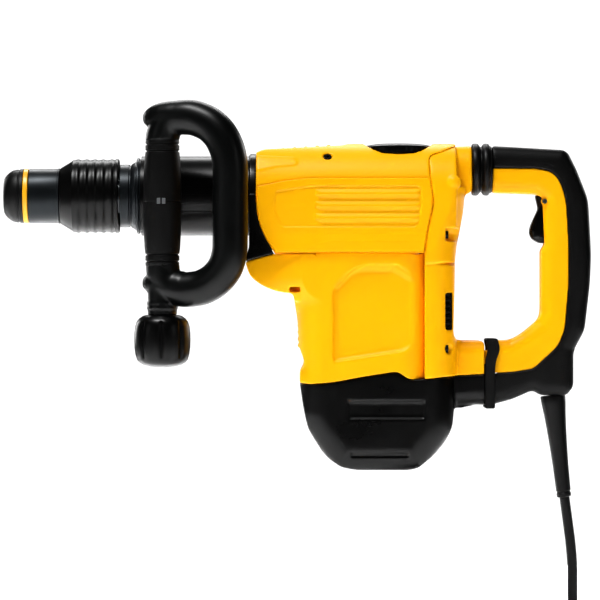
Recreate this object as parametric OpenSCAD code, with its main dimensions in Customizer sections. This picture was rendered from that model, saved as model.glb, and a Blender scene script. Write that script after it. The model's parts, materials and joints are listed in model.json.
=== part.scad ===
// Electric demolition hammer with a round tool holder, a loop side handle and a sprung rear handle.
// Millimetres. The origin is the centre of the tool holder's mouth, +X runs back along the barrel, +Z is up.

/* [Tool holder and nose] */
// Bore that takes the chisel's shank
shank_d = 18; // [14:1:22]
// Outside of the steel tool holder
holder_d = 36; // [32:1:40]
// Largest diameter of the rubber nose cap
nose_d = 56.8; // [50:0.2:62]
// Length of the rubber nose cap
cap_len = 21; // [16:1:30]
// Length of the coloured ring behind the cap
ring_len = 5.3; // [3:0.1:9]
// Length of the plain collar behind the ring
collar_len = 33; // [24:1:44]

/* [Locking sleeve] */
// Length of the sleeve's front cone
cone_len = 13; // [8:1:20]
// Length of the ribbed grip
ribbed_len = 48.8; // [36:0.2:66]
// Largest diameter over the ribs
rib_d = 77.4; // [72:0.2:86]
// Number of grip ribs
rib_count = 5; // [3:1:7]
// How far the sleeve pulls back to free the chisel
sleeve_travel = 11; // [6:1:12]
// Neck left open behind the sleeve
neck_gap = 13.2; // [13:0.1:24]

/* [Barrel and cylinder] */
// Outside of the barrel
barrel_d = 83; // [78:1:96]
// Barrel length from its front lip to the housing flange
barrel_len = 113; // [100:1:150]
// Wall of the barrel
barrel_wall = 5; // [3:0.5:7]
// Bore of the hammer cylinder
cylinder_bore = 48; // [40:1:54]
// Wall of the hammer cylinder
cylinder_wall = 5; // [3:0.5:8]
// Running clearance between a sliding piece and its bore, on the radius
run_gap = 0.05; // [0.02:0.01:0.1]

/* [Crank drive] */
// Crank throw, half of the piston's stroke
crank_throw = 16; // [10:1:18]
// Pitch radius of the crank gear
gear_r = 35; // [30:1:37]
// Pitch radius of the motor pinion
pinion_r = 9; // [7:0.5:12]
// Teeth on the crank gear
gear_teeth = 35; // [30:1:40]
// Teeth on the motor pinion
pinion_teeth = 9; // [7:1:12]

/* [Motor] */
// Outside of the stator stack
stator_d = 86; // [70:1:88]
// Height of the stator stack
stator_h = 62; // [40:1:66]
// Air gap between the armature and the stator
air_gap = 0.6; // [0.4:0.1:1.5]
// Diameter of the motor shaft
shaft_d = 12; // [10:1:15]

/* [Housing] */
// Half width of the housing, which is also its crown radius
half_w = 54.6; // [52:0.2:60]
// Wall of the housings
wall = 3.5; // [2.5:0.5:5]
// Diameter of the speed dial on top
dial_d = 71; // [60:1:74]

/* [Side handle] */
// Radius of the loop's tube
loop_r = 18.4; // [16:0.2:20]
// Distance between the loop's two uprights
loop_span = 75; // [66:1:80]
// Angle at which the loop leans away from the barrel
loop_lean = 20; // [18:1:26]
// Largest diameter of the clamp knob
knob_d = 58.6; // [48:0.2:66]
// Diameter of the clamp bolt
bolt_d = 10; // [8:1:12]

/* [Rear handle] */
// Half width of the yellow handle frame
frame_half = 19; // [17:0.5:23]
// Half width of the rubber grip
grip_half = 20.5; // [18:0.5:24]
// Diameter of the handle's pivot pin
pivot_d = 8; // [6:1:10]
// Half width of the trigger
trigger_half = 10; // [8:0.5:12]

/* [Cord] */
// Diameter of the rubber cord
cord_d = 10.5; // [10:0.1:11]

/* [Hidden] */
$fn = 64;

// Stations along the barrel axis
x_ring = cap_len;
x_collar = x_ring + ring_len;
x_cone = x_collar + collar_len;
x_ribbed = x_cone + cone_len;
x_neck = x_ribbed + ribbed_len;
x_lip = x_neck + neck_gap;
lip_len = 10.4;
x_barrel = x_lip + lip_len;
x_flange = x_barrel + barrel_len;

// Engraved lines on the barrel: the angle from one to the next
barrel_line_step = 12;

// Radii along the barrel axis
nose_r = nose_d / 2;
sleeve_root_r = rib_d / 2 - 1.6;
sleeve_bore_r = 34.2;
neck_r = 33;
barrel_r = barrel_d / 2;
flange_r = 44;
flange_len = 7.5;
flange_screws = 6;
cyl_r = cylinder_bore / 2 + cylinder_wall;
slide_r = cylinder_bore / 2 - run_gap;
wrist_half = slide_r - 3.9;
fan_r = stator_d / 2 - 5;
brush_foot = 15.6;
brush_reach = stator_d / 2 - 3.4;
holder_end = x_neck + 6;
mouth_r = shank_d / 2 + 3.5;
step_x = cap_len / 2;

// Hammer works, from the flange back and forward
cyl_back = x_flange + 38;
crank_x = x_flange + 84;
gear_gap = 0.6;
motor_x = crank_x + gear_r + pinion_r + gear_gap;
rod_len = 80;
piston_len = 30;
wrist_in = 18;
wrist_r = 6;
wrist_x = crank_x + crank_throw - rod_len;
piston_x = wrist_x - wrist_in;
ram_len = 42;
ram_x = piston_x - 2 * crank_throw - 1.5 - ram_len;
ram_travel = 20;
air_ports = 6;
beat_r = 15;
beat_len = 62;
beat_travel = 8;
beat_x = ram_x - ram_travel - 2 - beat_len;

// Speed dial
dial_x = x_flange + 156;
dial_floor = 43.9;
dial_stem_r = 8;
dial_scallops = 24;

// Housing details
cover_seat = 3;
ridge_count = 6;
ridge_pitch = 11.8;
louvre_count = 6;
vent_x = x_flange + 203.9;
vent_y = 34;
vent_z = -140.5;
vent_len = 7.2;
vent_h = 38.6;
lower_arm_half = 24;
arm_z = 28;

// Heights in the gear case and the motor housing
gear_z = -48;
gear_h = 12;
case_floor = -56;
case_top = 33;
case_wall = 5;
roof_z = 39;
cover_low = -60.4;
armature_top = -104;
fan_z = -88;
fan_blades = 11;
pole_depth = 17;
commutator_bars = 24;
motor_low = -262;
crown = half_w;

// Outlines of the housings, seen from the side, from the flange back: [along, up, corner rounding]
upper_outline = [
    [7.5, -12, 4], [9, -24, 6], [14.3, -40, 6], [26.5, cover_low, 0], [182.3, cover_low, 0],
    [184.5, -42, 6], [191.8, -8.4, 8], [188.3, 18, 4],
    [187, 37, 3], [189.5, 41, 1], [197.5, 44, 2], [216.5, 51.5, 0], [215, crown + 0.6, 2],
    [197, crown + 0.6, 4], [191.5, crown, 2], [104, crown, 4], [97, 52.5, 2], [14.5, 48, 4],
    [7.5, 44.6, 0],
];
cover_outline = [
    [8.5, -12, 4], [10, -24, 6], [15.3, -40, 6], [27.5, -59.4, 1], [181.5, -59.4, 4], [183.5, -42, 6],
    [190.8, -8.4, 8], [187.3, 17.4, 3],
    [62, 17.4, 10], [37.8, 14.5, 6], [8.5, 8.6, 1],
];
// Foot of the flange, and the seat that the motor housing leaves for it
flange_outline = [
    [-4, -69.2, 2], [26, -61, 1], [14, -40.2, 6], [8.7, -24.1, 6], [7.3, -14, 4], [7.3, 0, 0], [0.2, 0, 0],
    [0.2, -54, 2],
];
flange_seat = [[-5, -69.6, 0], [28, cover_low - 0.4, 0], [27, cover_low + 2, 0], [-5, cover_low + 2, 0]];
motor_outline = [
    [-4, -69.3, 2], [0.5, -84, 6], [10.8, -92.4, 6], [21.3, -97.7, 6], [32, -100.8, 4], [46, -102.4, 4],
    [50.7, -131.3, 10], [51.8, -156.5, 6], [58, -174.3, 6], [52.6, -183.8, 4], [52.8, -195.3, 0],
    [64, -196.2, 0], [88, -194.3, 8], [119, -188.5, 8], [149.4, -183.8, 3], [154.6, -183.8, 3],
    [167, -191.8, 4], [182.3, -191, 0], [182.3, cover_low, 0], [20, cover_low, 4],
];
// Side panel of the motor housing, and the recess in the side cover with its ribs
motor_panel = [
    [87.5, -99, 3], [108.5, -77, 4], [120.5, -72.4, 4], [153.5, -72, 3],
    [172.5, -84, 4], [172.5, -155, 4], [160.5, -162, 5],
    [87.5, -173, 4],
];
cover_panel = [
    [34, -34, 4], [173, -34, 4], [176.5, -28, 4], [179.8, -10, 4],
    [179.6, 6, 3], [175, 9.4, 2], [66, 9.4, 8],
    [28, 4, 3], [25, -14, 4],
];
motor_panel_depth = 2.2;
cover_panel_depth = 1.2;
cover_stands = 1.4;
panel_rib_h = 4.6;
panel_rib_pitch = 12.6;
cap_outline = [
    [52.8, -195.3, 0], [56, -217.4, 4], [59, -233, 6], [62, -244, 4], [75.9, -266.7, 4],
    [82.7, -274.1, 4], [95.9, -282.9, 4], [111, -286.2, 6], [167, -286.2, 6], [176.5, -283.5, 4],
    [192.5, -270.9, 8], [204.5, -256.2, 6], [211.9, -242.5, 6], [214, -224, 2], [224.5, -221.3, 4],
    [238, -218.6, 4], [249.3, -219.4, 2], [249.3, -187, 0], [206, -188.6, 2], [182.3, -191, 0],
    [167, -191.8, 4], [154.6, -183.8, 3], [149.4, -183.8, 3], [119, -188.5, 8], [88, -194.3, 8],
    [64, -196.2, 0],
];
rear_outline = [
    [182.3, -191, 0], [206, -188.6, 2], [245.2, -186.4, 0], [246, -151.4, 6], [212.4, -151.4, 10],
    [214, -97.7, 10], [214.7, -64.7, 4], [216.6, -51.2, 4], [220, -35.2, 4], [223.4, -16.4, 4],
    [224.8, 1, 5], [233, 4, 3], [233, 52.2, 2], [216.5, 51.5, 0], [197.5, 44, 2], [189.5, 41, 1],
    [187, 37, 3], [188.3, 18, 4], [191.8, -8.4, 8], [184.5, -42, 6], [182.3, cover_low, 0],
];
frame_outline = [
    [254.5, 28.8, 0], [254.5, 3.2, 3], [299.6, 1.7, 1], [307, -2, 2], [309, -51.9, 2],
    [305.1, -56.7, 3], [305.1, -122.2, 6], [302.5, -130.2, 4], [284.9, -144.9, 6], [273, -151.2, 6],
    [261, -151.2, 2], [261, -185.3, 0], [275.4, -184.5, 4], [297, -181.1, 4], [313.2, -166.3, 6],
    [322.7, -157, 5], [329.9, -140.7, 8], [333.9, -91.4, 8], [333.9, -51.5, 8], [331.3, -5.7, 8],
    [326.5, 10.5, 5], [320.6, 21, 5], [311.8, 26.5, 4], [298.5, 28.4, 3],
];
grip_outline = [
    [254.5, 52.2, 2], [254.5, 28.8, 0], [298.5, 28.4, 3], [311.8, 26.5, 4], [320.6, 21, 5],
    [326.5, 10.5, 5], [331.3, -5.7, 8], [333.9, -51.5, 8], [333.9, -91.4, 8], [329.9, -140.7, 8],
    [322.7, -157, 5], [313.2, -166.3, 6], [297, -181.1, 4], [275.4, -184.5, 4], [261, -185.3, 0],
    [261, -187, 0], [249.9, -187, 0], [249.9, -219.8, 2], [275, -213, 4],
    [296.4, -203.7, 4], [305.1, -208.9, 3],
    [332, -208.9, 3], [339.5, -199.5, 4], [339.5, -162.3, 6], [351.3, -140.7, 8], [357, -91.4, 20],
    [358.2, -60.9, 20], [355.2, -3.7, 12], [342.6, 27.8, 6], [334.6, 43.9, 5], [329.3, 47.9, 3],
];
trigger_outline = [
    [299.7, 0.5, 1], [303, -13.7, 3], [298.5, -23.1, 4], [294.3, -32.6, 3], [293.5, -39.2, 3],
    [296, -45, 3], [303.5, -49.5, 2], [311.5, -49.5, 2], [314.5, -30, 3], [314.5, -2, 5], [306, 0.5, 2],
];

// The rear handle swings on the pin in its lower arm
pivot = [253.4, -169];
trigger_pivot = [309, -6];
pin_gap = 0.05;
half_gap = 0.05;
trigger_pin_r = 2.5;
bolt_head_r = bolt_d * 0.85;
// More than half the width of any housing
clear_half = 70;
// Where the strap begins on the arms
strap_x = x_flange + 246.5;
handle_screw_len = 26;

// Screws that hold the rear housing: each runs forwards at the bottom of a notch in the rear corner
rear_screw_side = 44.5;
rear_screw_x = x_flange + 204;
rear_screw_high = -41.5;
rear_screw_low = -160;
rear_screw_len = 17;

// Screws that hold the crown to the gear case: lean from upright, and height of the seat along that lean
crown_screw_lean = 42;
crown_screw_seat = 50.8;
crown_screw_len = 7;

// Screws that close the rear handle, from its right side: [along, up]
handle_screw_spots = [[275, -166], [322, -60]];
screw_r = 4;
screw_head = 3;
shank_share = 0.5;
seat_gap = 0.3;

// Side handle: the front upright stands beside the barrel, the loop leans outwards behind it
post_x = x_barrel + 24;
post_y = -(barrel_r + 3 + loop_r + 1.1);
loop_top = 79;
loop_low = -98;
bend_rear_top = 41;
bend_rear_low = 37;
bend_front = 21;
stub_low = 2;
stub_top = 1;
knob_top = -124.7;
knob_h = 54;
knob_flutes = 8;
band_w = 30;
band_t = 2;
band_gap = 0.06;

// Cord: it hangs from the boot, and its slack lies coiled on the ground
boot_top = [318.5, -208.9];
boot_tip = [330.5, -316];
ground = -482;
coil_z = ground + 2;
coil_x = x_flange + 251.05;
coil_y = -46;
coil_in = 41;
coil_out = 88.25;
hanging_route = behind_flange([
    [330.8, 0, -316], [332.8, 0, -331], [334.8, 0, -346], [336.8, 0, -361], [338.3, 0, -377],
    [339.3, 0, -393], [339.3, 0, -408], [339.3, 0, -418], [339.3, -1.5, -430], [339.3, -6, -441],
    [339.3, -13.5, -451], [339.3, -23, -458.5], [339.3, -34, -463], [339.3, -46, -464.3],
]);
tail_route = behind_flange([
    [162.8, -46, -474.7], [162.8, -36, -474.7], [162.8, -26, -474], [162.8, -16, -472.5],
    [162.8, -6, -470], [162.8, 4, -467.3], [162.8, 12, -465.4], [162.8, 18, -464.4],
]);
plug_y = 18;
plug_r = 18;
plug_pin_d = 4.8;
plug_pin_pitch = 19;
pin_seat = 56;

// ---- shared functions and shapes ----
function behind_flange(route) = [for (p = route) p + [x_flange, 0, 0]];
function unit(v) = v / norm(v);
function xy(p) = [p[0], p[1]];
function corner(a, p, b, n) =
    let (r = min(p[2], 0.45 * norm(xy(a) - xy(p)), 0.45 * norm(xy(b) - xy(p))))
    let (s = xy(p) + unit(xy(a) - xy(p)) * r, e = xy(p) + unit(xy(b) - xy(p)) * r)
    p[2] <= 0 ? [xy(p)]
              : [for (i = [0:n]) let (t = i / n) s * pow(1 - t, 2) + xy(p) * 2 * t * (1 - t) + e * t * t];
function around(i, n) = (i + n) % n;
function rounded(p, n = 3) =
    [for (i = [0:len(p) - 1]) each corner(p[around(i - 1, len(p))], p[i], p[around(i + 1, len(p))], n)];
function tangent(p, i) = unit(p[min(i + 1, len(p) - 1)] - p[max(i - 1, 0)]);
function ring_at(p, i, r, sides, side) =
    let (t = tangent(p, i), u = unit(cross(t, side)), v = cross(t, u))
    [for (k = [0:sides - 1]) p[i] + r * (u * cos(360 * k / sides) + v * sin(360 * k / sides))];
function helix(axial, r, turns, n) =
    [for (i = [0:turns * n]) [axial * i / (turns * n), r * cos(360 * i / n), r * sin(360 * i / n)]];

// Round tube swept along a list of points; side is a direction that the route never takes
module tube(route, r, sides, side) {
    rings = len(route);
    points = [for (i = [0:rings - 1]) each ring_at(route, i, r, sides, side)];
    walls = [
        for (i = [0:rings - 2], k = [0:sides - 1])
            let (a = i * sides + k, b = i * sides + (k + 1) % sides)
            each [[a, b, b + sides], [a, b + sides, a + sides]]
    ];
    ends = [[for (k = [sides - 1:-1:0]) k], [for (k = [0:sides - 1]) (rings - 1) * sides + k]];
    polyhedron(points, concat(walls, ends), convexity = 10);
}

// Cylinder along the barrel axis
module rod(x, len, r) translate([x, 0, 0]) rotate([0, 90, 0]) cylinder(h = len, r = r);

// Ring along the barrel axis
module pipe(x, len, r, bore) {
    difference() {
        rod(x, len, r);
        rod(x - 1, len + 2, bore);
    }
}

// Profile of [along, radius] turned about the barrel axis
module turned(profile) rotate([0, 90, 0]) rotate_extrude() polygon([for (p = profile) [p[1], p[0]]]);

// Outline of [along, up] behind the flange, given its width
module slab(outline, half) {
    translate([x_flange, half, 0]) rotate([90, 0, 0]) linear_extrude(2 * half) polygon(rounded(outline));
}

// Upright cylinder
module post(x, z, h, r, y = 0) translate([x, y, z]) cylinder(h = h, r = r);

// Cross section of the upper housing: a round crown on straight sides
module crown_form(half, low, from, len) case_form(from, len, half, low, 100);

// Plan form of the motor housing: flat sides, round front and back corners
module plan_form(front, back, half, r, low, high) {
    translate([x_flange, 0, low]) linear_extrude(high - low) union() {
        translate([front + r, -half]) square([back - front - 2 * r, 2 * half]);
        translate([front, -half + r]) square([back - front, 2 * (half - r)]);
        for (x = [front + r, back - r], y = [-half + r, half - r]) translate([x, y]) circle(r);
    }
}

// The space inside the housings
module inner_space() {
    inner = half_w - wall - 1.5;
    rod(x_flange, 20, cyl_r + 0.4);
    case_form(x_flange + 11, 168, inner, cover_low - 1, roof_z);
    post(motor_x, motor_low, 230, stator_d / 2 + 0.3);
    translate([x_flange + 186, -14, -176]) cube([22, 28, 200]);
}

// Screw along Z with a hexagon socket in its head, which rises from Z = 0
module screw(len) {
    difference() {
        union() {
            cylinder(h = screw_head, r = screw_r);
            translate([0, 0, -len]) cylinder(h = len + 1, r = screw_r * shank_share);
        }
        translate([0, 0, 1]) cylinder(h = screw_head, r = screw_r * 0.45, $fn = 6);
    }
}

// Places of the rear housing's screws, with Z pointing back along the tool
module at_rear_screws() {
    for (s = [-1, 1], z = [rear_screw_high, rear_screw_low])
        translate([rear_screw_x, s * rear_screw_side, z]) rotate([0, 90, 0]) children();
}

// Places of the crown's screws, with Z pointing out of the crown
module at_crown_screws() {
    for (s = [-1, 1])
        rotate([s * -crown_screw_lean, 0, 0]) translate([x_flange + 82, 0, crown_screw_seat]) children();
}

// Places of the handle's screws, with Z pointing to the right from the seat of the head
module at_handle_screws() {
    for (p = handle_screw_spots)
        translate([x_flange + p[0], frame_half - screw_head - seat_gap, p[1]]) rotate([-90, 0, 0])
            children();
}

// ---- nose and tool holder ----
module nose_cap() color([0.08, 0.08, 0.09]) {
    turned([
        [0.6, mouth_r + 0.1], [step_x, mouth_r + 0.1], [step_x, holder_d / 2], [cap_len, holder_d / 2],
        [cap_len, nose_r], [8, nose_r], [4, nose_r - 1.6], [1.4, nose_r - 4.4], [0, nose_r - 8.5],
        [0, mouth_r + 2],
    ]);
}

module accent_ring() color([0.95, 0.68, 0.1]) pipe(x_ring, ring_len, nose_r, holder_d / 2);

module nose_collar() color([0.1, 0.1, 0.1]) {
    turned([
        [x_collar, holder_d / 2], [x_collar, nose_r],
        [x_cone - 1, nose_r + 0.9], [x_cone - 0.4, nose_r + 0.4],
        [x_cone - 0.4, holder_d / 2 + 5], [x_cone + 4, holder_d / 2 + 5], [x_cone + 4, holder_d / 2],
    ]);
}

module tool_holder() color("lightsteelblue") {
    difference() {
        union() {
            rod(0, step_x + 1, mouth_r);
            rod(step_x, holder_end - step_x, holder_d / 2);
            rod(x_ribbed + 36, 3, sleeve_bore_r - 0.3);
        }
        rod(-1, beat_x - beat_travel - 2, shank_d / 2);
        rod(beat_x - beat_travel - 4, 200, beat_r + run_gap);
        for (s = [-1, 1]) {
            translate([x_cone + 6, s * 12 - 6, -3]) cube([17, 12, 6]);
            translate([x_cone + 5, s * (shank_d / 2 + 5.2) - 4.8, -4.2]) cube([19, 9.6, 8.4]);
        }
    }
}

module locking_rollers() color("silver") {
    for (s = [-1, 1])
        translate([x_cone + 5.5, s * (shank_d / 2 + 4.8), 0]) rotate([0, 90, 0]) cylinder(h = 18, r = 4);
}

module locking_sleeve() color([0.09, 0.1, 0.1]) {
    pitch = (ribbed_len - 6) / rib_count;
    difference() {
        union() {
            turned([
                [x_cone, nose_r - 4], [x_cone, nose_r + 0.9], [x_ribbed - 1, sleeve_root_r],
                [x_ribbed + 3, rib_d / 2],
                [x_ribbed + 5, rib_d / 2], [x_ribbed + 6.5, sleeve_root_r], [x_neck - 4.5, sleeve_root_r],
                [x_neck - 3, rib_d / 2], [x_neck - 0.6, rib_d / 2], [x_neck, rib_d / 2 - 0.8],
                [x_neck, nose_r - 4],
            ]);
            for (i = [0:rib_count - 1])
                pipe(x_ribbed + 6 + (i + 0.3) * pitch, pitch * 0.5, rib_d / 2, sleeve_root_r - 1);
        }
        rod(x_cone - 1, 200, holder_d / 2 + 5.3);
        rod(x_ribbed + 4, 200, sleeve_bore_r);
    }
}

module sleeve_spring() color("silver") {
    turn_r = holder_d / 2 + 7;
    translate([x_ribbed + 6.2, 0, 0]) tube(helix(28, turn_r, 4, 12), 1.4, 6, [1, 0, 0]);
}

module neck_ring() color([0.07, 0.07, 0.07]) {
    difference() {
        turned([
            [x_neck + 1.2, holder_d / 2 + 0.3], [x_neck + 1.2, neck_r],
            [x_lip, neck_r], [x_lip + 4.8, neck_r + 2.6],
            [x_lip + 5.6, neck_r + 6.8], [x_barrel - 0.8, neck_r + 6.8], [x_barrel, neck_r + 5.6],
            [x_barrel, holder_d / 2 + 0.3],
        ]);
        rod(x_lip + 2, 20, cyl_r - 4);
    }
}

// ---- barrel and hammer works ----
module barrel() color([0.1, 0.1, 0.1]) {
    difference() {
        rod(x_barrel, barrel_len, barrel_r);
        rod(x_barrel - 1, barrel_len + 2, barrel_r - barrel_wall);
        for (s = [-1, 1], k = [-2:2])
            rotate([90 * s + barrel_line_step * k, 0, 0]) translate([x_barrel + 42, -0.5, barrel_r - 0.7])
                cube([barrel_len - 52, 1, 2]);
    }
}

module barrel_flange() color([0.06, 0.06, 0.06]) {
    difference() {
        union() {
            rod(x_flange, flange_len, flange_r);
            difference() {
                slab(flange_outline, half_w - 0.4);
                inner_space();
            }
        }
        rod(x_flange - 10, 40, cyl_r + 0.4);
        translate([x_flange - 10, -60, cover_low]) cube([2.5, 120, 1]);
        for (k = [0:flange_screws - 1])
            rotate([360 / flange_screws * k, 0, 0]) translate([x_flange - 1, 0, cyl_r + 5])
                rotate([0, 90, 0])
                cylinder(h = 40, r = 2.6);
    }
}

module beat_guide() color("slategray") {
    difference() {
        union() {
            rod(x_barrel + 0.2, ram_x - ram_travel - 3 - x_barrel - 0.2, cyl_r);
            rod(x_barrel + 0.2, 8, barrel_r - barrel_wall - 0.1);
            rod(x_lip + 2.2, 9, cyl_r - 4.4);
        }
        rod(x_neck, 200, beat_r + run_gap);
    }
}

module beat_piece() color("silver") {
    difference() {
        rod(beat_x, beat_len, beat_r);
        pipe(beat_x + 14, 4, beat_r + 1, beat_r - 1.5);
    }
}

module hammer_cylinder() color("gainsboro") {
    difference() {
        pipe(ram_x - ram_travel - 2.8, cyl_back - ram_x + ram_travel + 2.8, cyl_r, cylinder_bore / 2);
        for (k = [0:air_ports - 1])
            rotate([360 / air_ports * (k + 0.5), 0, 0]) translate([ram_x + ram_len + 4, 0, 0])
                cylinder(h = 60, r = 2);
    }
}

module ram() color("silver") {
    difference() {
        rod(ram_x, ram_len, slide_r);
        for (x = [6, 30]) pipe(ram_x + x, 4, slide_r + 1, slide_r - 2);
        rod(ram_x + ram_len - 12, 20, slide_r - 9);
    }
}

module piston() color("lightgray") {
    difference() {
        rod(piston_x, piston_len, slide_r);
        pipe(piston_x + 4, 3, slide_r + 1, slide_r - 2);
        translate([piston_x + 8, -10.5, -8.5]) cube([40, 21, 17]);
        post(wrist_x, -40, 80, wrist_r);
    }
}

module wrist_pin() color("silver") post(wrist_x, -wrist_half, 2 * wrist_half, wrist_r);

module con_rod() color("darkgray") {
    big_x = wrist_x + rod_len;
    difference() {
        union() {
            post(wrist_x, -8, 16, wrist_r + 3.2);
            translate([wrist_x, -6, -5]) cube([rod_len, 12, 10]);
            post(big_x, -7, 14, 15);
        }
        post(wrist_x, -20, 40, wrist_r + pin_gap);
        post(big_x, -20, 40, 9);
    }
}

module toothed(r, teeth, h) {
    difference() {
        cylinder(h = h, r = r);
        for (k = [0:teeth - 1])
            rotate([0, 0, 360 * k / teeth]) translate([r, 0, -1])
                cylinder(h = h + 2, r = r * 1.6 / teeth, $fn = 6);
    }
}

module crank_gear() color("dimgray") {
    translate([crank_x, 0, gear_z]) {
        toothed(gear_r, gear_teeth, gear_h);
        translate([0, 0, gear_h]) cylinder(h = 14, r = 26);
        translate([0, 0, -7.8]) cylinder(h = 8, r = 9);
    }
}

module crank_pin() color("silver") {
    seat_z = gear_z + gear_h + 14;
    post(crank_x + crank_throw, seat_z, -8 - seat_z, 8);
}

module case_form(from, len, half, low, high) {
    intersection() {
        union() {
            rod(from, len, half);
            translate([from, -half, low]) cube([len, 2 * half, -low]);
        }
        translate([from - 1, -half - 1, low]) cube([len + 2, 2 * half + 2, high - low]);
    }
}

module gear_case() color("silver") {
    outer = half_w - wall - 2.5;
    difference() {
        case_form(x_flange + 12, 150, outer, case_floor, case_top);
        case_form(x_flange + 39, 117, outer - case_wall, case_floor + 4, case_top - case_wall);
        rod(x_flange, 60, cyl_r);
        post(crank_x, case_floor - 10, 30, 15);
        post(motor_x, case_floor - 10, 30, 16);
        at_crown_screws() translate([0, 0, -10]) cylinder(h = 12, r = screw_r * shank_share + 0.2);
    }
}

module race(x, z, bore, out, h) {
    translate([x, 0, z]) difference() {
        cylinder(h = h, r = out);
        translate([0, 0, -1]) cylinder(h = h + 2, r = bore);
    }
}

module ball_bearings() color("silver") {
    race(crank_x, case_floor, 9.03, 15, 4);
    race(motor_x, case_floor, shaft_d / 2 + 0.03, 16, 4);
    race(motor_x, motor_low, shaft_d / 2 + 0.03, 14, 10);
}

// ---- motor ----
module motor_shaft() color("silver") {
    post(motor_x, motor_low + 2, gear_z - motor_low + 0.2 - 2, shaft_d / 2);
    translate([motor_x, 0, gear_z]) rotate([0, 0, 180 / pinion_teeth])
        toothed(pinion_r, pinion_teeth, gear_h);
}

module on_shaft(z, h, r) {
    translate([motor_x, 0, z]) difference() {
        cylinder(h = h, r = r);
        translate([0, 0, -1]) cylinder(h = h + 2, r = shaft_d / 2);
    }
}

module armature_core() color("sienna") {
    on_shaft(armature_top - stator_h, stator_h, stator_d / 2 - pole_depth - air_gap);
}

module commutator() color("peru") {
    difference() {
        on_shaft(armature_top - stator_h - 38, 24, 15);
        translate([motor_x, 0, armature_top - stator_h - 39])
            for (k = [0:commutator_bars - 1])
                rotate([0, 0, 360 / commutator_bars * k]) translate([14, -0.3, 0]) cube([3, 0.6, 22]);
    }
}

module cooling_fan() color([0.2, 0.2, 0.22]) {
    on_shaft(fan_z - 2, 3, fan_r);
    on_shaft(fan_z + 1, 9, 12);
    for (k = [0:fan_blades - 1])
        translate([motor_x, 0, fan_z + 1]) rotate([0, 0, 360 * k / fan_blades]) translate([11.5, -0.8, 0])
            cube([fan_r - 13, 1.6, 9]);
}

module stator() color([0.35, 0.35, 0.38]) {
    translate([motor_x, 0, armature_top - stator_h]) difference() {
        cylinder(h = stator_h, r = stator_d / 2);
        translate([0, 0, -1]) cylinder(h = stator_h + 2, r = stator_d / 2 - pole_depth);
    }
}

module brush_holders() color("goldenrod") {
    z = armature_top - stator_h - 34;
    for (s = [-1, 1]) translate([motor_x - 6, s > 0 ? brush_foot : -brush_reach, z])
        cube([12, brush_reach - brush_foot, 14]);
}

// ---- housings ----
module upper_housing() color([1, 0.74, 0.05]) {
    difference() {
        intersection() {
            slab(upper_outline, clear_half);
            crown_form(half_w, cover_low, x_flange, 230);
        }
        inner_space();
        for (s = [-1, 1]) translate([0, s * (half_w - cover_seat + 20), 0]) slab(cover_outline, 20);
        translate([dial_x, 0, dial_floor - 0.5]) cylinder(h = 40, r = dial_d / 2 + 0.6);
        translate([dial_x, 0, 30]) cylinder(h = 40, r = dial_stem_r + 0.1);
        at_crown_screws() cylinder(h = 20, r = screw_r + 1);
        at_crown_screws() translate([0, 0, -10]) cylinder(h = 12, r = screw_r * shank_share + 0.2);
    }
    for (k = [0:ridge_count - 1])
        translate([x_flange + 24 + ridge_pitch * k, -15, 46.8 + 0.75 * k]) rotate([-90, 0, 0])
            cylinder(h = 30, r = 2.4);
}

// Raised side panel with a shallow recess and three ribs; sign is -1 for the left side and 1 for the right
module side_cover(sign) color([1, 0.76, 0.08]) {
    face = half_w + cover_stands;
    rib_y = sign > 0 ? face - cover_panel_depth - 0.6 : -face;
    difference() {
        intersection() {
            translate([0, sign * (half_w - cover_seat + 21.6), 0]) slab(cover_outline, 21.5);
            translate([x_flange, -face, -70]) cube([200, 2 * face, 100]);
        }
        translate([0, sign * (face - cover_panel_depth + 20), 0]) slab(cover_panel, 20);
    }
    for (k = [-1:1])
        translate([x_flange + 70, rib_y, panel_rib_pitch * k - panel_rib_h - 8])
            cube([107, cover_panel_depth + 0.6, panel_rib_h]);
}

module side_cover_left() side_cover(-1);
module side_cover_right() side_cover(1);

module motor_housing() color([1, 0.74, 0.05]) {
    half = half_w - 1.6;
    difference() {
        intersection() {
            slab(motor_outline, clear_half);
            union() {
                plan_form(46, 190, half, 34, -200, cover_low);
                plan_form(-6, 120, 42, 14, -110, cover_low);
            }
        }
        inner_space();
        slab(flange_seat, 60);
        for (s = [-1, 1]) translate([0, s * (half - motor_panel_depth + 20), 0]) slab(motor_panel, 20);
        for (s = [-1, 1]) translate([x_flange + 42, s * 45 - 10, -100.6]) cube([11.4, 20, 5]);
    }
    for (k = [0:ridge_count - 1])
        translate([x_flange + 51.9, -16, -122 - 7 * k]) rotate([-90, 0, 0]) cylinder(h = 32, r = 1.6);
}

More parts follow.
